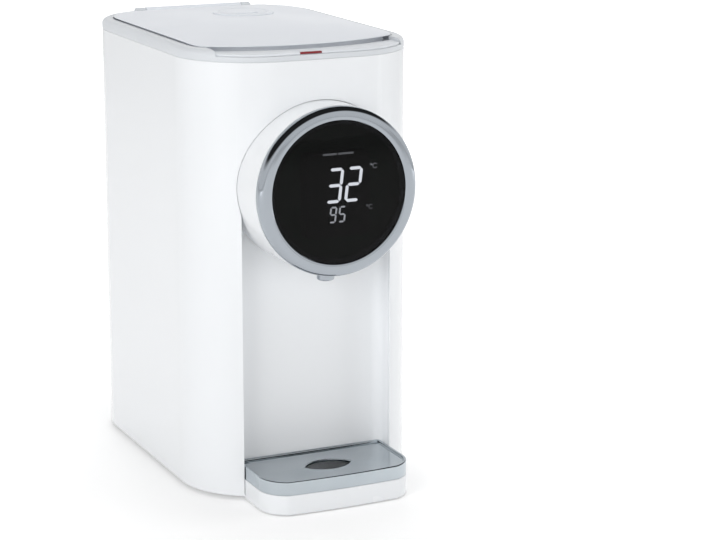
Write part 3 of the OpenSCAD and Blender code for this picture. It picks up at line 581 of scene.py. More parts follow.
# Name, colour, second shade, gloss from and to, grain scale, grain depth
PLASTICS = (
    ("black rubber", (0.02, 0.02, 0.021), (0.035, 0.035, 0.036), (0.6, 0.8), 900.0, 8e-5),
    ("black plastic", (0.018, 0.018, 0.02), (0.03, 0.03, 0.032), (0.35, 0.5), 1500.0, 5e-5),
    ("dark plastic", (0.05, 0.052, 0.056), (0.07, 0.072, 0.076), (0.35, 0.5), GRAIN, 4e-5),
    ("blue plastic", (0.03, 0.08, 0.22), (0.04, 0.1, 0.26), (0.3, 0.4), GRAIN, GRAIN_DEPTH),
    ("silicone", (0.62, 0.61, 0.58), (0.56, 0.55, 0.52), (0.45, 0.6), 700.0, 4e-5),
    ("circuit board", (0.02, 0.12, 0.06), (0.03, 0.17, 0.08), (0.3, 0.5), 400.0, 5e-5),
    ("red mark", (0.26, 0.012, 0.02), (0.18, 0.01, 0.016), (0.3, 0.4), GRAIN, GRAIN_DEPTH),
)
# Name, colour, second shade, gloss from and to, scratch scales, scratch depth
METALS = (
    ("polished chrome", (0.385, 0.415, 0.45), (0.355, 0.385, 0.42), (0.05, 0.1), (900, 900, 900), 5e-7),
    ("brushed steel", (0.55, 0.56, 0.58), (0.48, 0.49, 0.51), (0.2, 0.34), BRUSHED, 1e-5),
    ("drawn steel", (0.58, 0.59, 0.61), (0.5, 0.51, 0.53), (0.16, 0.3), (700, 700, 30), 6e-6),
    ("element metal", (0.42, 0.41, 0.4), (0.34, 0.33, 0.31), (0.35, 0.5), (500, 500, 500), 1e-5),
    ("brass", (0.62, 0.45, 0.2), (0.5, 0.36, 0.16), (0.25, 0.4), BRUSHED, 1e-5),
    ("plate metal", (0.52, 0.565, 0.595), (0.4, 0.445, 0.48), (0.07, 0.2), (10, 500, 500), 4e-6),
)
# Finishes of the material slots that have another name than their finish
SLOT_FINISHES = {
    "white_gloss": "housing gloss", "white_satin": "niche satin", "frame_satin": "trim satin",
    "steel": "brushed steel", "chrome": "polished chrome", "black_glass": "smoked glass",
    "led_white": "lit figures", "brass_pins": "brass",
}


def placed_group(tree, kind, **values):
    node = tree.nodes.new("ShaderNodeGroup")
    node.node_tree = GROUPS[kind]
    for key, value in values.items():
        node.inputs[key.replace("_", " ")].default_value = value
    return node


def blend_colours(tree, mask, *ends):
    """Mixes two colours by a mask; each is a constant or a socket."""
    node = tree.nodes.new("ShaderNodeMix")
    node.data_type = "RGBA"
    for socket, end in zip([s for s in node.inputs if s.type == "RGBA"], ends):
        feed(tree, socket, end if isinstance(end, bpy.types.NodeSocket) else (*end, 1))
    feed(tree, next(s for s in node.inputs if s.type == "VALUE"), mask)
    return next(s for s in node.outputs if s.type == "RGBA")


def new_material(name):
    material = FINISHES[name] = bpy.data.materials.new(name)
    material.use_nodes = True
    tree = material.node_tree
    return tree, tree.nodes["Principled BSDF"]


def clothe(tree, shader, skin, colour, depth):
    """Gives a shader its colour and a skin's gloss and relief."""
    relief = tree.nodes.new("ShaderNodeBump")
    give(tree, relief, {"Distance": depth, "Height": skin.outputs["Height"]})
    give(tree, shader, {"Base Color": colour, "Roughness": skin.outputs["Roughness"],
                        "Normal": relief.outputs["Normal"]})


def plastic(name, colour, shade, gloss, grain=GRAIN, depth=GRAIN_DEPTH, coat=0.0):
    """Moulded plastic whose colour drifts slightly towards a second shade, paler where edges are rubbed."""
    tree, shader = new_material(name)
    skin = placed_group(tree, "moulded", Grain_scale=grain, Gloss_low=gloss[0], Gloss_high=gloss[1])
    rubbed = spread(tree, placed_group(tree, "edge").outputs["Mask"], 0.0, 0.35, 0.0, 1.0)
    pale = [min(1.0, c * 1.12 + 0.01) for c in colour]
    drift = blend_colours(tree, skin.outputs["Clouds"], colour, shade)
    give(tree, shader, {"IOR": 1.45, "Coat Weight": coat, "Coat Roughness": 0.12})
    clothe(tree, shader, skin, blend_colours(tree, rubbed, drift, pale), depth)


def metal(name, colour, shade, gloss, along, depth):
    """Brushed or polished metal with fine scratches along one axis."""
    tree, shader = new_material(name)
    skin = placed_group(tree, "brushed", Along_x=along[0], Along_y=along[1], Along_z=along[2],
                        Gloss_low=gloss[0], Gloss_high=gloss[1])
    give(tree, shader, {"Metallic": 1.0})
    clothe(tree, shader, skin, blend_colours(tree, skin.outputs["Clouds"], colour, shade), depth)


def smoked_glass(name, colour):
    """Dark display glass that lets the lit bars through and little else."""
    tree, shader = new_material(name)
    skin = placed_group(tree, "moulded", Grain_scale=40.0, Gloss_low=0.01, Gloss_high=0.03, Wave=1.0)
    give(tree, shader, {"Base Color": (*colour, 1), "Transmission Weight": 1.0, "IOR": 1.2,
                        "Roughness": skin.outputs["Roughness"]})


def lit(name, colour, strength, low_share):
    """Light-emitting bars whose glow is a little uneven and weaker in the lower figures."""
    tree, shader = new_material(name)
    skin = placed_group(tree, "moulded", Grain_scale=600.0)
    drift = blend_colours(tree, skin.outputs["Clouds"], colour, [c * 0.94 for c in colour])
    place = tree.nodes.new("ShaderNodeSeparateXYZ")
    tree.links.new(object_place(tree), place.inputs[0])
    from_z, to_z = (FIGURE_SPLIT_Z - 0.2) * MM, (FIGURE_SPLIT_Z + 0.2) * MM
    glow = maths(tree, "VectorMath", "SCALE", drift)
    give(tree, glow, {"Scale": spread(tree, place.outputs["Z"], low_share, 1.0, from_z, to_z)})
    give(tree, shader, {"Base Color": (*colour, 1), "Roughness": skin.outputs["Roughness"],
                        "Emission Color": glow.outputs[0], "Emission Strength": strength})


class PotColours(bpy.types.PropertyGroup):
    """Colours of the pot that a user would change."""
    body: FloatVectorProperty(name="Body", description="Colour of the glossy housing", subtype="COLOR",
                              default=(0.85, 0.868, 0.888), min=0, max=1)
    lid: FloatVectorProperty(name="Lid", description="Colour of the lid", subtype="COLOR",
                             default=(0.8, 0.828, 0.875), min=0, max=1)
    trim: FloatVectorProperty(name="Trim", description="Colour of the frame and the release bar",
                              subtype="COLOR", default=(0.69, 0.715, 0.745), min=0, max=1)
    glass: FloatVectorProperty(name="Glass", description="Tint of the display glass", subtype="COLOR",
                               default=(0.08, 0.08, 0.085), min=0, max=1)
    figures: FloatVectorProperty(name="Figures", description="Colour of the lit figures", subtype="COLOR",
                                 default=(0.95, 0.98, 1.0), min=0, max=1)


class PotSizes(bpy.types.PropertyGroup):
    """Sizes of details that a user would change."""
    shell_round: FloatProperty(name="Shell edge", description="Round on the shell's top and bottom edges",
                               default=0.0008, min=0.0002, max=0.002, unit="LENGTH")
    lid_round: FloatProperty(name="Lid edge", description="Round on the lid's upper edge",
                             default=0.0005, min=0.0003, max=0.0006, unit="LENGTH")
    niche_fillet: FloatProperty(name="Niche fillet", description="Round in the niche's rear corners",
                                default=0.008, min=0.001, max=0.015, unit="LENGTH")
    glow: FloatProperty(name="Glow", description="Strength of the lit figures behind the glass",
                        default=9.0, min=0.0, max=200.0)
    around: IntProperty(name="Fineness", description="Points round the housing's outline",
                        default=360, min=120, max=720)


def sizes():
    return bpy.context.scene.pot_sizes


class MakeFinishes(bpy.types.Operator):
    """Make every finish of the pot"""
    bl_idname = "pot.finishes"
    bl_label = "Finishes"

    def execute(self, context):
        GROUPS["moulded"] = moulded_group()
        GROUPS["brushed"] = brushed_group()
        GROUPS["edge"] = edge_group()
        chosen = bpy.context.scene.pot_colours
        glow = sizes().glow
        # Name, colour, its shares in the two shades, gloss from and to, grain depth, clear coat
        for name, colour, first, second, gloss, depth, coat in (
                ("housing gloss", chosen.body, 1.0, 0.992, (0.16, 0.24), 1e-5, 0.15),
                ("niche satin", chosen.body, 1.0, 0.992, (0.28, 0.38), GRAIN_DEPTH, 0.0),
                ("lid satin", chosen.lid, 1.0, 0.97, (0.3, 0.4), 3e-5, 0.0),
                # bar satin is the trim colour painted lighter (1.09 and 1.06 times): painted light on the
                # release bar
                ("bar satin", chosen.trim, 1.09, 1.06, (0.3, 0.42), 3e-5, 0.0),
                ("trim satin", chosen.trim, 1.0, 0.96, (0.3, 0.42), 3e-5, 0.0),
                ("tray gloss", chosen.body, 1.0, 0.98, (0.2, 0.3), GRAIN_DEPTH, 0.0)):
            light, dark = ([value * share for value in colour] for share in (first, second))
            plastic(name, light, dark, gloss, depth=depth, coat=coat)
        for row in PLASTICS:
            plastic(*row)
        for row in METALS:
            metal(*row)
        smoked_glass("smoked glass", chosen.glass)
        lit("lit figures", chosen.figures, glow, 0.42)
        lit("faint marks", chosen.figures, glow * 0.12, 0.7)
        return {"FINISHED"}


class MakeShell(bpy.types.Operator):
    """Model the outer shell with its niche and inlet openings"""
    bl_idname = "pot.shell"
    bl_label = "Outer shell"

    def execute(self, context):
        r = sizes().shell_round / MM
        profile = quarter((r, FOOT_Z), (0, FOOT_Z + r), 4, True)
        profile += quarter((0, SHELL_Z - r), (r, SHELL_Z), 4, False)
        profile += [(WALL - 0.3, SHELL_Z), (WALL, SHELL_Z - 0.3), (WALL, FOOT_Z + 0.3), (WALL - 0.3, FOOT_Z)]
        profile.append(profile[0])
        shell = loft("shell", profile_loops(plan_inside, profile, BODY_CENTRE, sizes().around), closed=True)
        points = outline(lambda x, z, inset: niche_inside(x, z, inset, 0.0), 0, (0, 150), 240)
        opening = loft("opening", [standing(points, y) for y in (FRONT_Y - 5, NICHE_CUT_Y)], **CAPPED)
        half_w, low, high = 15.2, INLET_Z - 12.2, INLET_Z + 12.2
        socket = block("socket", (-half_w, HALF_D - 8, low), (half_w, HALF_D + 8, high))
        cut(shell, opening, socket)
        self.break_niche_edges(shell)
        finish(shell, "housing", "housing gloss", ["outer_shell"])
        return {"FINISHED"}

    def break_niche_edges(self, shell):
        """Breaks the two long upright edges of the niche opening."""
        bm = edit(shell, "EDGE")
        bpy.ops.mesh.select_all(action="DESELECT")
        for e in bm.edges:
            a, b = (v.co / MM for v in e.verts)
            at_side = all(abs(abs(end.x) - NICHE_HALF) < 0.05 for end in (a, b))
            outer = min(a.y, b.y) - MID_Y < NICHE_EDGE_Y
            if at_side and outer and abs(a.z - b.z) > 20:
                e.select_set(True)
        bmesh.update_edit_mesh(shell.data)
        bpy.ops.mesh.bevel(offset=0.8 * MM, segments=BEVEL_STEPS, affect="EDGES", clamp_overlap=False)
        leave()


class MakeNiche(bpy.types.Operator):
    """Model the recessed panel under the display"""
    bl_idname = "pot.niche"
    bl_label = "Niche panel"

    def execute(self, context):
        fillet = sizes().niche_fillet / MM
        centre, count, steps = (0, 120), 300, 6
        floor_z, fade_top, fade = 8, DIAL_Z - 22, 25
        rim = outline(niche_inside, 0, centre, count)
        x, z = rim[:, 0], rim[:, 1]
        rest = np.clip(np.abs(x) - (HALF_W - CORNER_FRONT), 0, None)
        inner = CORNER_FRONT - WALL - 0.3
        front = CORNER_FRONT - HALF_D - np.sqrt(inner * inner - rest * rest)
        # The fillet of the rear corners fades out towards the arch, and the floor has none
        amount = np.clip((fade_top - z) / fade, 0, 1)
        radius = np.where(z < floor_z, 0, fillet * amount * amount * (3 - 2 * amount))
        loops = [np.c_[x, front, z]]
        for t in np.arange(steps + 1) / steps * math.pi / 2:
            pull = np.where(np.abs(x) > 50, radius * (1 - math.cos(t)), 0)
            loops.append(np.c_[x - np.sign(x) * pull, NICHE_BACK_Y - radius * (1 - math.sin(t)), z])
        panel = loft("niche", loops, cap_last=True, closed=True)
        apply_modifier(panel, "SOLIDIFY", thickness=PANEL_WALL * MM, offset=1.0)
        finish(panel, "housing", "niche satin", ["niche_panel"])
        return {"FINISHED"}


class MakeDisplay(bpy.types.Operator):
    """Model the display's collar, chrome ring, glass and the spout under it"""
    bl_idname = "pot.display"
    bl_label = "Display"

    def execute(self, context):
        inner, count = DIAL_R - 2.5, 192
        profile = [(inner, NICHE_BACK_Y), (DIAL_R, NICHE_BACK_Y)]
        profile += quarter((DIAL_R, COLLAR_FRONT_Y + 0.7), (DIAL_R - 0.7, COLLAR_FRONT_Y), 4, False)
        profile += [(inner + 0.2, COLLAR_FRONT_Y), (inner, COLLAR_FRONT_Y + 0.3), (inner, NICHE_BACK_Y)]
        collar = turned("collar", profile, count, closed=True)
        finish(collar, "housing", "housing gloss", ["display_collar"])

        back, face, shoulder = COLLAR_FRONT_Y - 0.8, RING_FACE_Y, 4.4
        profile = [(inner - 0.2, back + 6), (inner - 0.2, back)]
        profile += quarter((DIAL_R - 0.5, back), (DIAL_R, back - 0.5), 3, True)
        profile += quarter((DIAL_R, face + shoulder + 0.3), (DIAL_R - shoulder, face + 0.3), 10, False)
        bead = ((4.4, 0.16), (3.4, 0.06), (2.5, 0), (1.6, 0.05), (0.9, 0.2))
        profile += [(GLASS_R + out, face + deep) for out, deep in bead]
        profile += quarter((GLASS_R + 0.7, face + 0.28), (GLASS_R + 0.15, face + 0.9), 4, True)
        profile += [(GLASS_R + 0.15, GLASS_BACK_Y + 0.2), (GLASS_R - 3, GLASS_BACK_Y + 0.2),
                    (GLASS_R - 3, GLASS_BACK_Y + 2.4), (inner - 2.2, GLASS_BACK_Y + 2.4),
                    (inner - 2.2, back + 6), (inner - 0.2, back + 6)]
        ring = turned("ring", profile, count, closed=True)
        finish(ring, "housing", "polished chrome", ["chrome_ring"])

        profile = [(GLASS_R - 0.2, GLASS_BACK_Y), (GLASS_R, GLASS_BACK_Y - 0.2)]
        profile += quarter((GLASS_R, GLASS_FRONT_Y + 0.6), (GLASS_R - 0.6, GLASS_FRONT_Y), 4, False)
        glass = turned("glass", profile, count, **CAPPED)
        finish(glass, "housing", "smoked glass", ["display_glass"])
        self.unit_marks()
        self.spout()
        return {"FINISHED"}

    def unit_marks(self):
        """Small degree marks beside the figures and a two-part bar above them, one piece behind the glass."""
        marks = []
        front, back = GLASS_BACK_Y + 0.1, GLASS_BACK_Y + 0.4
        for x, z, size in ((26.0, 17.0, 1.0), (23.0, -13.0, 0.9)):
            ring = bent_strip((x, DIAL_Z + z + 1.2 * size), 0.35 * size, 0.95 * size, 0, 350)
            letter = bent_strip((x + 3.2 * size, DIAL_Z + z), 1.3 * size, 2.1 * size, 45, 315)
            for points in (ring, letter):
                marks.append(loft("unit_marks", [standing(points, y) for y in (front, back)], **CAPPED))
        for x0, x1 in ((-12.0, -1.2), (0.0, 12.0)):
            marks.append(block("unit_marks", (x0, front, DIAL_Z + 27.2), (x1, back, DIAL_Z + 28.6)))
        join(*marks)
        finish(marks[0], "housing", "faint marks")

    def spout(self):
        foot, r = corners("spout_nozzle")[0].z, 6.5
        place = (0.0, plan_middle("spout_nozzle")[1])
        profile = above(foot, (3.0, 14), (3.0, 3.4), (3.9, 0.6), (4.3, 0))
        profile += quarter((r - 1.3, foot), (r, foot + 1.5), 5, True) + above(foot, (r, 14), (3.0, 14))
        nozzle = upright("spout", place, profile, 72, closed=True)
        finish(nozzle, "housing", "polished chrome", ["spout_nozzle"])


class MakeTopFrame(bpy.types.Operator):
    """Model the grey frame round the lid, with its hinge ears"""
    bl_idname = "pot.frame"
    bl_label = "Top frame"

    def execute(self, context):
        count = sizes().around
        outer = quarter((0.5, SHELL_Z), (0, SHELL_Z + 0.5), 3, True)
        outer += above(FRAME_Z, (0, -3.4), (0.25, -2.5), (0.9, -1.5), (1.9, -0.6), (2.9, -0.12), (3.6, 0))
        inner = above(FRAME_Z, (-LID_GAP - 0.5, 0), (-LID_GAP - 0.15, -0.15), (-LID_GAP, -0.5))
        inner.append((-LID_GAP, RECESS_Z))
        mouth = [(5.0, RECESS_Z), (5.0, SHELL_Z)]
        loops = []
        for inside, profile in ((plan_inside, outer), (lid_inside, inner), (tank_inside, mouth)):
            loops += profile_loops(inside, profile, BODY_CENTRE, count, LID_CORNERS)
        loops.append(loops[0])
        band = loft("band", loops, closed=True)
        recess = block("recess", (-BAY_HALF, FRONT_Y - 4, BAR_FOOT_Z), (BAY_HALF, BAY_BACK_Y, FRAME_Z + 4))
        bay = outline(bay_inside, GUARD, (0, FRONT_Y + 22), 240)
        pit = loft("pit", [level(bay, BAY_FLOOR_Z), level(bay, BAR_FOOT_Z + 1)], **CAPPED)
        trough_half = HINGE_HALF - EAR_W + 0.4
        trough = bar_x("trough", HINGE_Y, HINGE_Z, BARREL_R + 0.6, -trough_half, trough_half)
        cut(band, recess, pit, trough)
        ears = []
        for side in (-1, 1):
            x0, x1 = sorted((side * (HINGE_HALF - EAR_W), side * HINGE_HALF))
            ears.append(bar_x("ear", HINGE_Y, HINGE_Z, BARREL_R, x0, x1))
            low, high = (x0, HINGE_Y - BARREL_R, RECESS_Z), (x1, HINGE_Y + BARREL_R, HINGE_Z)
            ears.append(block("ear_foot", low, high, 0.5))
        join(band, *ears)
        finish(band, "housing", "trim satin", ["top_frame"])
        return {"FINISHED"}


def rim_z(points):
    """Height of the lid's rim, which stands a little less proud of the frame at the front."""
    share = np.clip((points[:, 1] - LID_FRONT_Y) / 50, 0, 1)
    return FRAME_Z + LID_RIM_FRONT + (LID_RIM_BACK - LID_RIM_FRONT) * share * share * (3 - 2 * share)


class MakeLid(bpy.types.Operator):
    """Model the crowned lid with its barrel and the steam vent cap"""
    bl_idname = "pot.lid"
    bl_label = "Lid"

    def execute(self, context):
        count = sizes().around
        edge = sizes().lid_round / MM
        lip, undercut = 0.7, 6.0

        def rim_loop(inset, drop):
            rim = outline(lid_inside, inset, BODY_CENTRE, count, LID_CORNERS)
            return level(rim, rim_z(rim) - drop)

        loops = [level(outline(lid_inside, undercut, BODY_CENTRE, count, LID_CORNERS), LID_Z)]
        profile = above(lip, (undercut, 0.3), (undercut - 0.25, 0), (0.3, 0), (0.06, -0.08), (0, -0.2))
        profile += quarter((0, edge), (edge, 0), 5, False)
        loops += [rim_loop(inset, drop) for inset, drop in profile]
        rim, edge_z = loops[-1][:, :2], loops[-1][:, 2]
        for share in (0.97, 0.93, 0.86, 0.78, 0.68, 0.56, 0.43, 0.3, 0.17, 0.05):
            inward = (rim - BODY_CENTRE) * share + BODY_CENTRE
            loops.append(level(inward, CROWN_Z - (CROWN_Z - edge_z) * share ** 2.2))
        cover = loft("cover", loops, **CAPPED)
        notches = []
        for side in (-1, 1):
            x0, x1 = sorted((side * BARREL_HALF, side * (HINGE_HALF + 0.4)))
            notches.append(block("notch", (x0, LID_BACK_Y - BARREL_R, LID_Z - 1),
                                 (x1, LID_BACK_Y + 5, CROWN_Z + 2)))
        well = rod("well", VENT, VENT_R + 0.3, VENT_SEAT_Z, CROWN_Z + 2)
        cut(cover, *notches, well)
        barrel = bar_x("barrel", HINGE_Y, HINGE_Z, BARREL_R, -BARREL_HALF, BARREL_HALF)
        tongue = block("tongue", (-BARREL_HALF, LID_BACK_Y - 8, HINGE_Z - 3),
                       (BARREL_HALF, LID_BACK_Y + 1, HINGE_Z + 2), 0.4)
        join(cover, barrel, tongue)
        finish(cover, "lid", "lid satin", ["lid_cover"])
        self.vent_cap()
        return {"FINISHED"}

    def vent_cap(self):
        top = VENT_HIGH.z
        profile = [(VENT_R, VENT_SEAT_Z)]
        profile += quarter((VENT_R, top - 0.9), (VENT_R - 0.9, top), 4, False)
        profile += above(top, (VENT_R - 3.2, 0), (VENT_R - 4.0, -0.5), (VENT_R - 4.8, -0.55),
                         (VENT_R - 5.6, -0.1), (VENT_R - 12, -0.02), (4.0, 0))
        cap = upright("vent", VENT, profile, 120, **CAPPED)
        points = bent_strip(VENT, VENT_R - 12.6, VENT_R - 9.4, -130, -50)
        slot = loft("slot", [level(points, top - 2.0), level(points, top + 1)], **CAPPED)
        cut(cap, slot)
        join(cap, rod("stem", VENT, VENT_R - 5.3, LID_Z + 0.4, VENT_SEAT_Z + 0.2))
        finish(cap, "lid", "lid satin", ["vent_cap"])


class MakeReleaseBar(bpy.types.Operator):
    """Model the release bar, its lock mark and the springs under it"""
    bl_idname = "pot.release_bar"
    bl_label = "Release bar"

    def execute(self, context):
        bottom, top, half = BAR_FOOT_Z, BAR_HIGH.z, BAR_HIGH.x
        end = [(half, 0.35), (half - 0.12, 0.1), (half - 0.4, 0.0)]
        stations = [(-x, shrink) for x, shrink in end]
        stations += [(x, 0.0) for x in np.linspace(-half + 2, half - 2, 71)] + end[::-1]
        loops = [self.section(x, bottom + shrink, top - shrink, shrink) for x, shrink in stations]
        bar = loft("bar", loops, **CAPPED)
        posts = [rod("post", (side * POST_X, POST_Y), 3.0, BAR_LOW.z, bottom + 0.2, 48) for side in (-1, 1)]
        low, high = corners("lock_mark")
        low.y, high.y = low.y - MID_Y, high.y - MID_Y
        pocket = block("pocket", (low.x - 0.2, low.y - 1, low.z - 0.1), (high.x + 0.2, high.y + 0.2, top + 2))
        cut(bar, pocket)
        join(bar, *posts)
        # The bar's finish is the trim colour painted lighter, as painted light on the bar
        finish(bar, "release_bar", "bar satin", ["release_bar"])
        mark = block("mark", low, high, 0.3)
        finish(mark, "release_bar", "red mark", ["lock_mark"])
        self.springs()
        return {"FINISHED"}

    def springs(self):
        """The two coil springs under the bar, made as one piece."""
        low, high = corners("release_springs")
        wire, turns, steps, sides, travel = 0.45, 4, 24, 10, 2.0
        radius = high.x - POST_X - wire
        round_wire = np.arange(sides) * TURN / sides
        reach = radius + wire * np.cos(round_wire)
        coils = []
        for side in (-1, 1):
            loops = []
            for turn in np.linspace(0, turns, turns * steps + 1):
                around = turn * TURN
                lift = low.z + wire + (high.z - low.z - 2 * wire) * turn / turns
                x, y = side * POST_X + reach * math.cos(around), POST_Y + reach * math.sin(around)
                loops.append(np.c_[x, y, lift + wire * np.sin(round_wire)])
            coils.append(loft("springs", loops, **CAPPED))
        join(*coils)
        finish(coils[0], "housing", "drawn steel", ["release_springs"], angle=60)
        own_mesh(coils[0])

    def section(self, x, bottom, top, shrink):
        """Closed cross-section of the bar at x, from its lower front edge round."""
        side = max(abs(x) - (HALF_W - CORNER_FRONT), 0)

        def front(inset):
            reach = CORNER_FRONT - BAR_INSET - inset - shrink
            return CORNER_FRONT - HALF_D - math.sqrt(reach ** 2 - side * side)

        sweep = LID_FRONT_R + 5.2
        rear = LID_FRONT_Y + LID_FRONT_R - math.sqrt(sweep * sweep - x * x) - shrink
        points = above(bottom, (front(0.3), 0), (front(0.08), 0.08), (front(0), 0.3))
        points += above(top, (front(0), -0.7), (front(0.12), -0.35), (front(0.35), -0.1), (front(0.7), 0),
                        (rear - 0.5, 0), (rear - 0.15, -0.12), (rear, -0.4))
        points += above(bottom, (rear, 0.3), (rear - 0.3, 0))
        return np.array([(x, y, z) for y, z in points])


class MakeTray(bpy.types.Operator):
    """Model the white drip tub and the metal plate on it"""
    bl_idname = "pot.tray"
    bl_label = "Drip tray"

    def execute(self, context):
        self.tub()
        self.plate()
        return {"FINISHED"}

    def loops(self, inside, profile):
        return profile_loops(inside, profile, (0.0, SLOT_Y), 400, TRAY_CORNERS)

    def tub(self):
        wall, roof_z, rest_z = 2.2, 5.9, 9.4
        low, high, step_z = TRAY_LOW.z, TRAY_HIGH.z, TRAY_STEP_Z
        profile = [(wall, roof_z), (wall, low + 0.2), (wall - 0.3, low)]
        profile += quarter((1.2, low), (0, low + 1.2), 5, True)
        profile += quarter((0, step_z - 0.5), (0.5, step_z), 3, False)
        profile.append((1.6, step_z))
        profile += above(high, (1.6, -0.3), (1.9, 0), (3.5, 0), (3.8, -0.3)) + [(3.8, rest_z)]
        profile += quarter((3.8, rest_z), (5.3, rest_z - 1.5), 4, False)[1:]
        tub = loft("tub", self.loops(tray_inside, profile), **CAPPED)
        gate = block("gate", (-47, TRAY_BACK_Y - 5, -1), (47, TRAY_BACK_Y + 5, roof_z))
        cut(tub, gate)
        finish(tub, "tray", "tray gloss", ["drip_tray"])

    def plate(self):
        low, high = corners("drip_plate")
        foot, top = low.z, high.z
        deck = top - 1.8
        under = deck - 1.2
        outer = [(1.2, foot), (0.2, foot), (0, foot + 0.2)]
        outer += quarter((0, top - 0.9), (0.9, top), 5, False)
        outer += quarter((1.4, top), (2.2, top - 0.7), 4, True)
        outer += above(deck, (2.5, 0.35), (2.8, 0.08), (3.4, 0))
        mouth = above(deck, (-2.4, 0), (-1.6, 0.12), (-0.9, 0.45), (-0.4, 0.5), (-0.1, 0.25), (0, -0.2))
        mouth.append((0, under))
        loops = self.loops(tray_inside, outer) + self.loops(oval_inside, mouth)
        loops += self.loops(tray_inside, [(1.2, under), (1.2, foot)])
        plate = loft("plate", loops, closed=True)
        finish(plate, "plate", "plate metal", ["drip_plate"])


class MakeTank(bpy.types.Operator):
    """Model the steel tank, the lid's liner with its gasket and the mains inlet"""
    bl_idname = "pot.tank"
    bl_label = "Tank, liner and inlet"

    def execute(self, context):
        self.tank()
        self.liner()
        self.gasket()
        self.inlet()
        return {"FINISHED"}

    def loops(self, profile):
        return profile_loops(tank_inside, profile, (0.0, TANK_MID_Y), 280)

    def tank(self):
        foot, floor, rim, wall, bend, middle = TANK_LOW.z, TANK_FLOOR_Z, TANK_HIGH.z, 1.0, 9.0, 40.0
        profile = [(middle, floor)] + quarter((bend, floor), (0, floor + bend), 7, True)
        profile += above(rim, (0, -3.2), (-0.5, -1.6), (-1.2, -1.2), (-2.2, -1.2), (-2.4, -1.0), (-2.4, -0.2),
                         (-2.2, 0), (wall - 0.4, 0), (wall, -0.4))
        profile += quarter((wall, floor + bend), (bend, floor + wall), 7, False)
        profile.append((middle, floor + wall))
        tank = loft("tank", self.loops(profile), **CAPPED)
        outlet, inner, outer, top = (0, PUMP_Y), 4.0, 5.0, floor + 0.3
        bore = rod("bore", outlet, inner, foot - 1, floor + 2, 48)
        hole = rod("hole", (SENSOR_X, PUMP_Y), 4.2, floor - 1, floor + 2, 48)
        cut(tank, bore, hole)
        profile = [(inner, foot), (outer, foot), (outer, top), (inner, top), (inner, foot)]
        join(tank, upright("stub", outlet, profile, 48, closed=True))
        finish(tank, "housing", "drawn steel", ["inner_tank"])

    def liner(self):
        low, high = corners("lid_liner")
        foot, inset = low.z, 7.5
        profile = [(inset, high.z), (inset, foot + 2.2)]
        profile += quarter((inset, foot + 1.6), (inset + 1.6, foot), 4, False)[1:]
        profile += above(foot, (inset + 5, 0), (inset + 6.2, 0.5), (inset + 7.4, 1.4), (inset + 9, 1.6),
                         (60.0, 1.6))
        liner = loft("liner", self.loops(profile), **CAPPED)
        holes = []
        for turn in np.radians(range(0, 360, 60)):
            place = (VENT[0] + 9.0 * math.cos(turn), VENT[1] + 9.0 * math.sin(turn))
            holes.append(rod("steam_hole", place, 2.5, foot - 1, high.z + 1, 32))
        cut(liner, join(*holes))
        finish(liner, "lid", "drawn steel", ["lid_liner"])

    def gasket(self):
        low, high = corners("lid_gasket")
        foot, top, root, bead, lip = low.z, high.z, 7.5, 6.4, 5.6
        profile = above(foot, (root, 0), (bead, 0), (lip + 0.1, 0.3), (lip, 0.7), (lip + 0.5, 1.3),
                        (lip + 0.5, 1.7))
        profile += above(top, (lip, -0.7), (lip + 0.1, -0.3), (bead, 0), (root, 0)) + [(root, foot)]
        gasket = loft("gasket", self.loops(profile), closed=True)
        finish(gasket, "lid", "silicone", ["lid_gasket"])

    def inlet(self):
        low, high = corners("mains_inlet")
        back, face = HALF_D, high.y - MID_Y
        body = [(3.0, low.y - MID_Y), (3.0, back), (0.0, back)]
        body += quarter((0, face - 0.8), (0.8, face), 4, False)
        profile = [(inlet_inside, *step) for step in body]
        profile += [(socket_inside, *step) for step in above(face, (-0.4, 0), (0.0, -0.4), (0.0, -16))]
        loops = [standing(outline(inside, inset, (0, INLET_Z), 160), y) for inside, inset, y in profile]
        inlet = loft("inlet", loops, **CAPPED)
        finish(inlet, "housing", "black plastic", ["mains_inlet"])


class MakeHiddenParts(bpy.types.Operator):
    """Give the inner parts that keep their frame shapes their finishes"""
    bl_idname = "pot.hidden_parts"
    bl_label = "Inner parts"

    def execute(self, context):
        slots = {part["node"]: part.get("material_slot") for part in frame["record"]["subparts"]}
        for node, obj in frame["nodes"].items():
            dress(obj, SLOT_FINISHES.get(slots[node], slots[node].replace("_", " ")))
        return {"FINISHED"}


# ---- Studio: lengths in metres, powers in watts, strengths of white light ----

# Name, place, width, power
LAMPS = (
    ("key", (-2.4, -1.4, 0.8), 2.2, 41.0),
    ("side", (2.3, -0.9, 0.5), 1.4, 21.5),
    ("front", (-0.3, -2.6, 0.7), 1.4, 8.5),
    ("rear", (0.8, 2.2, 1.5), 2.0, 24.0),
    ("ceiling", (0.2, 0.1, 2.4), 1.8, 14.2),
)
AIM = (0, 0, 0.17)
FLOOR_SIZE = 12
FLOOR_GREY = 0.82
GLOW_NEAR, GLOW_FAR = 0.3, 1.0
NEAR, FAR = 0.8, 2.4
GLOW_MIRRORED = 0.4
WORLD_MIRRORED, WORLD_FILL = 1.0, 0.38
CEILING = 0.03
CEILING_FROM, CEILING_TO = 0.26, 0.46
CAMERA_PLACE = (-0.6536, -1.56605, 0.5613)
CAMERA_PITCH, CAMERA_TURN = 12.44, 25.22
CAMERA_LENS, CAMERA_SENSOR, CAMERA_SHIFT = 111.53, 36.0, -0.0698


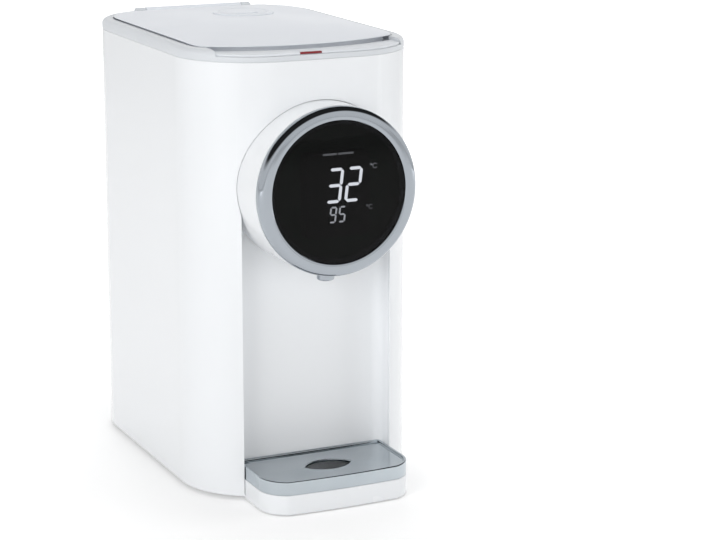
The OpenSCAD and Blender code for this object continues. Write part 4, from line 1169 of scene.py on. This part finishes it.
class MakeStage(bpy.types.Operator):
    """Lay the floor, light it softly and set the camera"""
    bl_idname = "pot.stage"
    bl_label = "Studio"

    def execute(self, context):
        self.floor()
        self.world()
        for lamp in LAMPS:
            self.lamp(*lamp)
        self.camera()
        context.scene.view_settings.view_transform = "Standard"
        return {"FINISHED"}

    def floor(self):
        deselect()
        bpy.ops.mesh.primitive_grid_add(x_subdivisions=4, y_subdivisions=4, size=FLOOR_SIZE)
        floor = named("floor")
        tree, shader = new_material("studio floor")
        give(tree, shader, {"Roughness": 0.9, "Specular IOR Level": 0.0,
                            "Base Color": (FLOOR_GREY, FLOOR_GREY, FLOOR_GREY, 1)})
        away = maths(tree, "VectorMath", "LENGTH", object_place(tree)).outputs["Value"]
        brightness = spread(tree, away, GLOW_NEAR, GLOW_FAR, NEAR, FAR)
        glow = tree.nodes.new("ShaderNodeEmission")
        give(tree, glow, {"Strength": self.seen(tree, brightness, GLOW_MIRRORED, 0.0)})
        add = tree.nodes.new("ShaderNodeAddShader")
        for source, socket in zip((shader, glow), add.inputs):
            tree.links.new(source.outputs[0], socket)
        tree.links.new(add.outputs[0], tree.nodes["Material Output"].inputs["Surface"])
        dress(floor, "studio floor")

    def seen(self, tree, direct, mirrored, otherwise):
        """One strength for the camera and looks through glass, one for its reflections, one for all else."""
        path = tree.nodes.new("ShaderNodeLightPath").outputs
        first = spread(tree, path["Diffuse Depth"], 1.0, 0.0, 0.0, 1.0)
        mirror = maths(tree, "Math", "MULTIPLY", path["Is Glossy Ray"], first).outputs[0]
        reflected = spread(tree, mirror, otherwise, mirrored, 0.0, 1.0)
        camera = maths(tree, "Math", "MAXIMUM", path["Is Camera Ray"], path["Is Transmission Ray"]).outputs[0]
        return spread(tree, camera, reflected, direct, 0.0, 1.0)

    def world(self):
        """White at the height of the eye; reflections see it darken towards the ceiling."""
        world = bpy.context.scene.world or bpy.data.worlds.new("studio")
        bpy.context.scene.world = world
        world.use_nodes = True
        tree = world.node_tree
        background = tree.nodes["Background"]
        height = tree.nodes.new("ShaderNodeSeparateXYZ")
        tree.links.new(tree.nodes.new("ShaderNodeTexCoord").outputs["Generated"], height.inputs[0])
        mirrored = spread(tree, height.outputs["Z"], WORLD_MIRRORED, CEILING, CEILING_FROM, CEILING_TO)
        strength = self.seen(tree, 1.0, mirrored, WORLD_FILL)
        give(tree, background, {"Color": (1, 1, 1, 1), "Strength": strength})

    def lamp(self, name, place, size, power):
        deselect()
        bpy.ops.object.light_add(type="AREA", location=place)
        lamp = bpy.context.object
        lamp.name = name
        lamp.data.shape = "DISK"
        lamp.data.size = size
        lamp.data.energy = power
        lamp.visible_glossy = False
        lamp.rotation_euler = (Vector(AIM) - Vector(place)).to_track_quat("-Z", "Y").to_euler()

    def camera(self):
        turn = (math.radians(90 - CAMERA_PITCH), 0, math.radians(-CAMERA_TURN))
        bpy.ops.object.camera_add(location=CAMERA_PLACE, rotation=turn)
        camera = bpy.context.object
        camera.data.sensor_width = CAMERA_SENSOR
        camera.data.lens = CAMERA_LENS
        camera.data.shift_y = CAMERA_SHIFT
        camera.data.clip_end = 50
        bpy.context.scene.camera = camera


class PotPanel(bpy.types.Panel):
    """Lists what the pot is made of"""
    bl_idname = "VIEW3D_PT_thermo_pot"
    bl_label = "Thermo Pot"
    bl_space_type = "VIEW_3D"
    bl_region_type = "UI"
    bl_category = "Thermo Pot"

    def draw(self, context):
        for settings in (context.scene.pot_colours, context.scene.pot_sizes):
            for key in settings.__annotations__:
                self.layout.prop(settings, key)
        for operator in OPERATORS:
            self.layout.operator(operator.bl_idname)


OPERATORS = (MakeFinishes, MakeHiddenParts, MakeShell, MakeNiche, MakeDisplay, MakeTopFrame, MakeLid,
             MakeReleaseBar, MakeTray, MakeTank, MakeStage)
CLASSES = (PotColours, PotSizes) + OPERATORS + (PotPanel,)


def register():
    for c in CLASSES:
        bpy.utils.register_class(c)
    bpy.types.Scene.pot_colours = PointerProperty(type=PotColours)
    bpy.types.Scene.pot_sizes = PointerProperty(type=PotSizes)


def unregister():
    del bpy.types.Scene.pot_sizes
    del bpy.types.Scene.pot_colours
    for c in reversed(CLASSES):
        bpy.utils.unregister_class(c)


def main():
    register()
    for operator in OPERATORS:
        deselect()
        group, action = operator.bl_idname.split(".")
        getattr(getattr(bpy.ops, group), action)()
    bpy.context.view_layer.update()


if __name__ == "__main__":
    main()
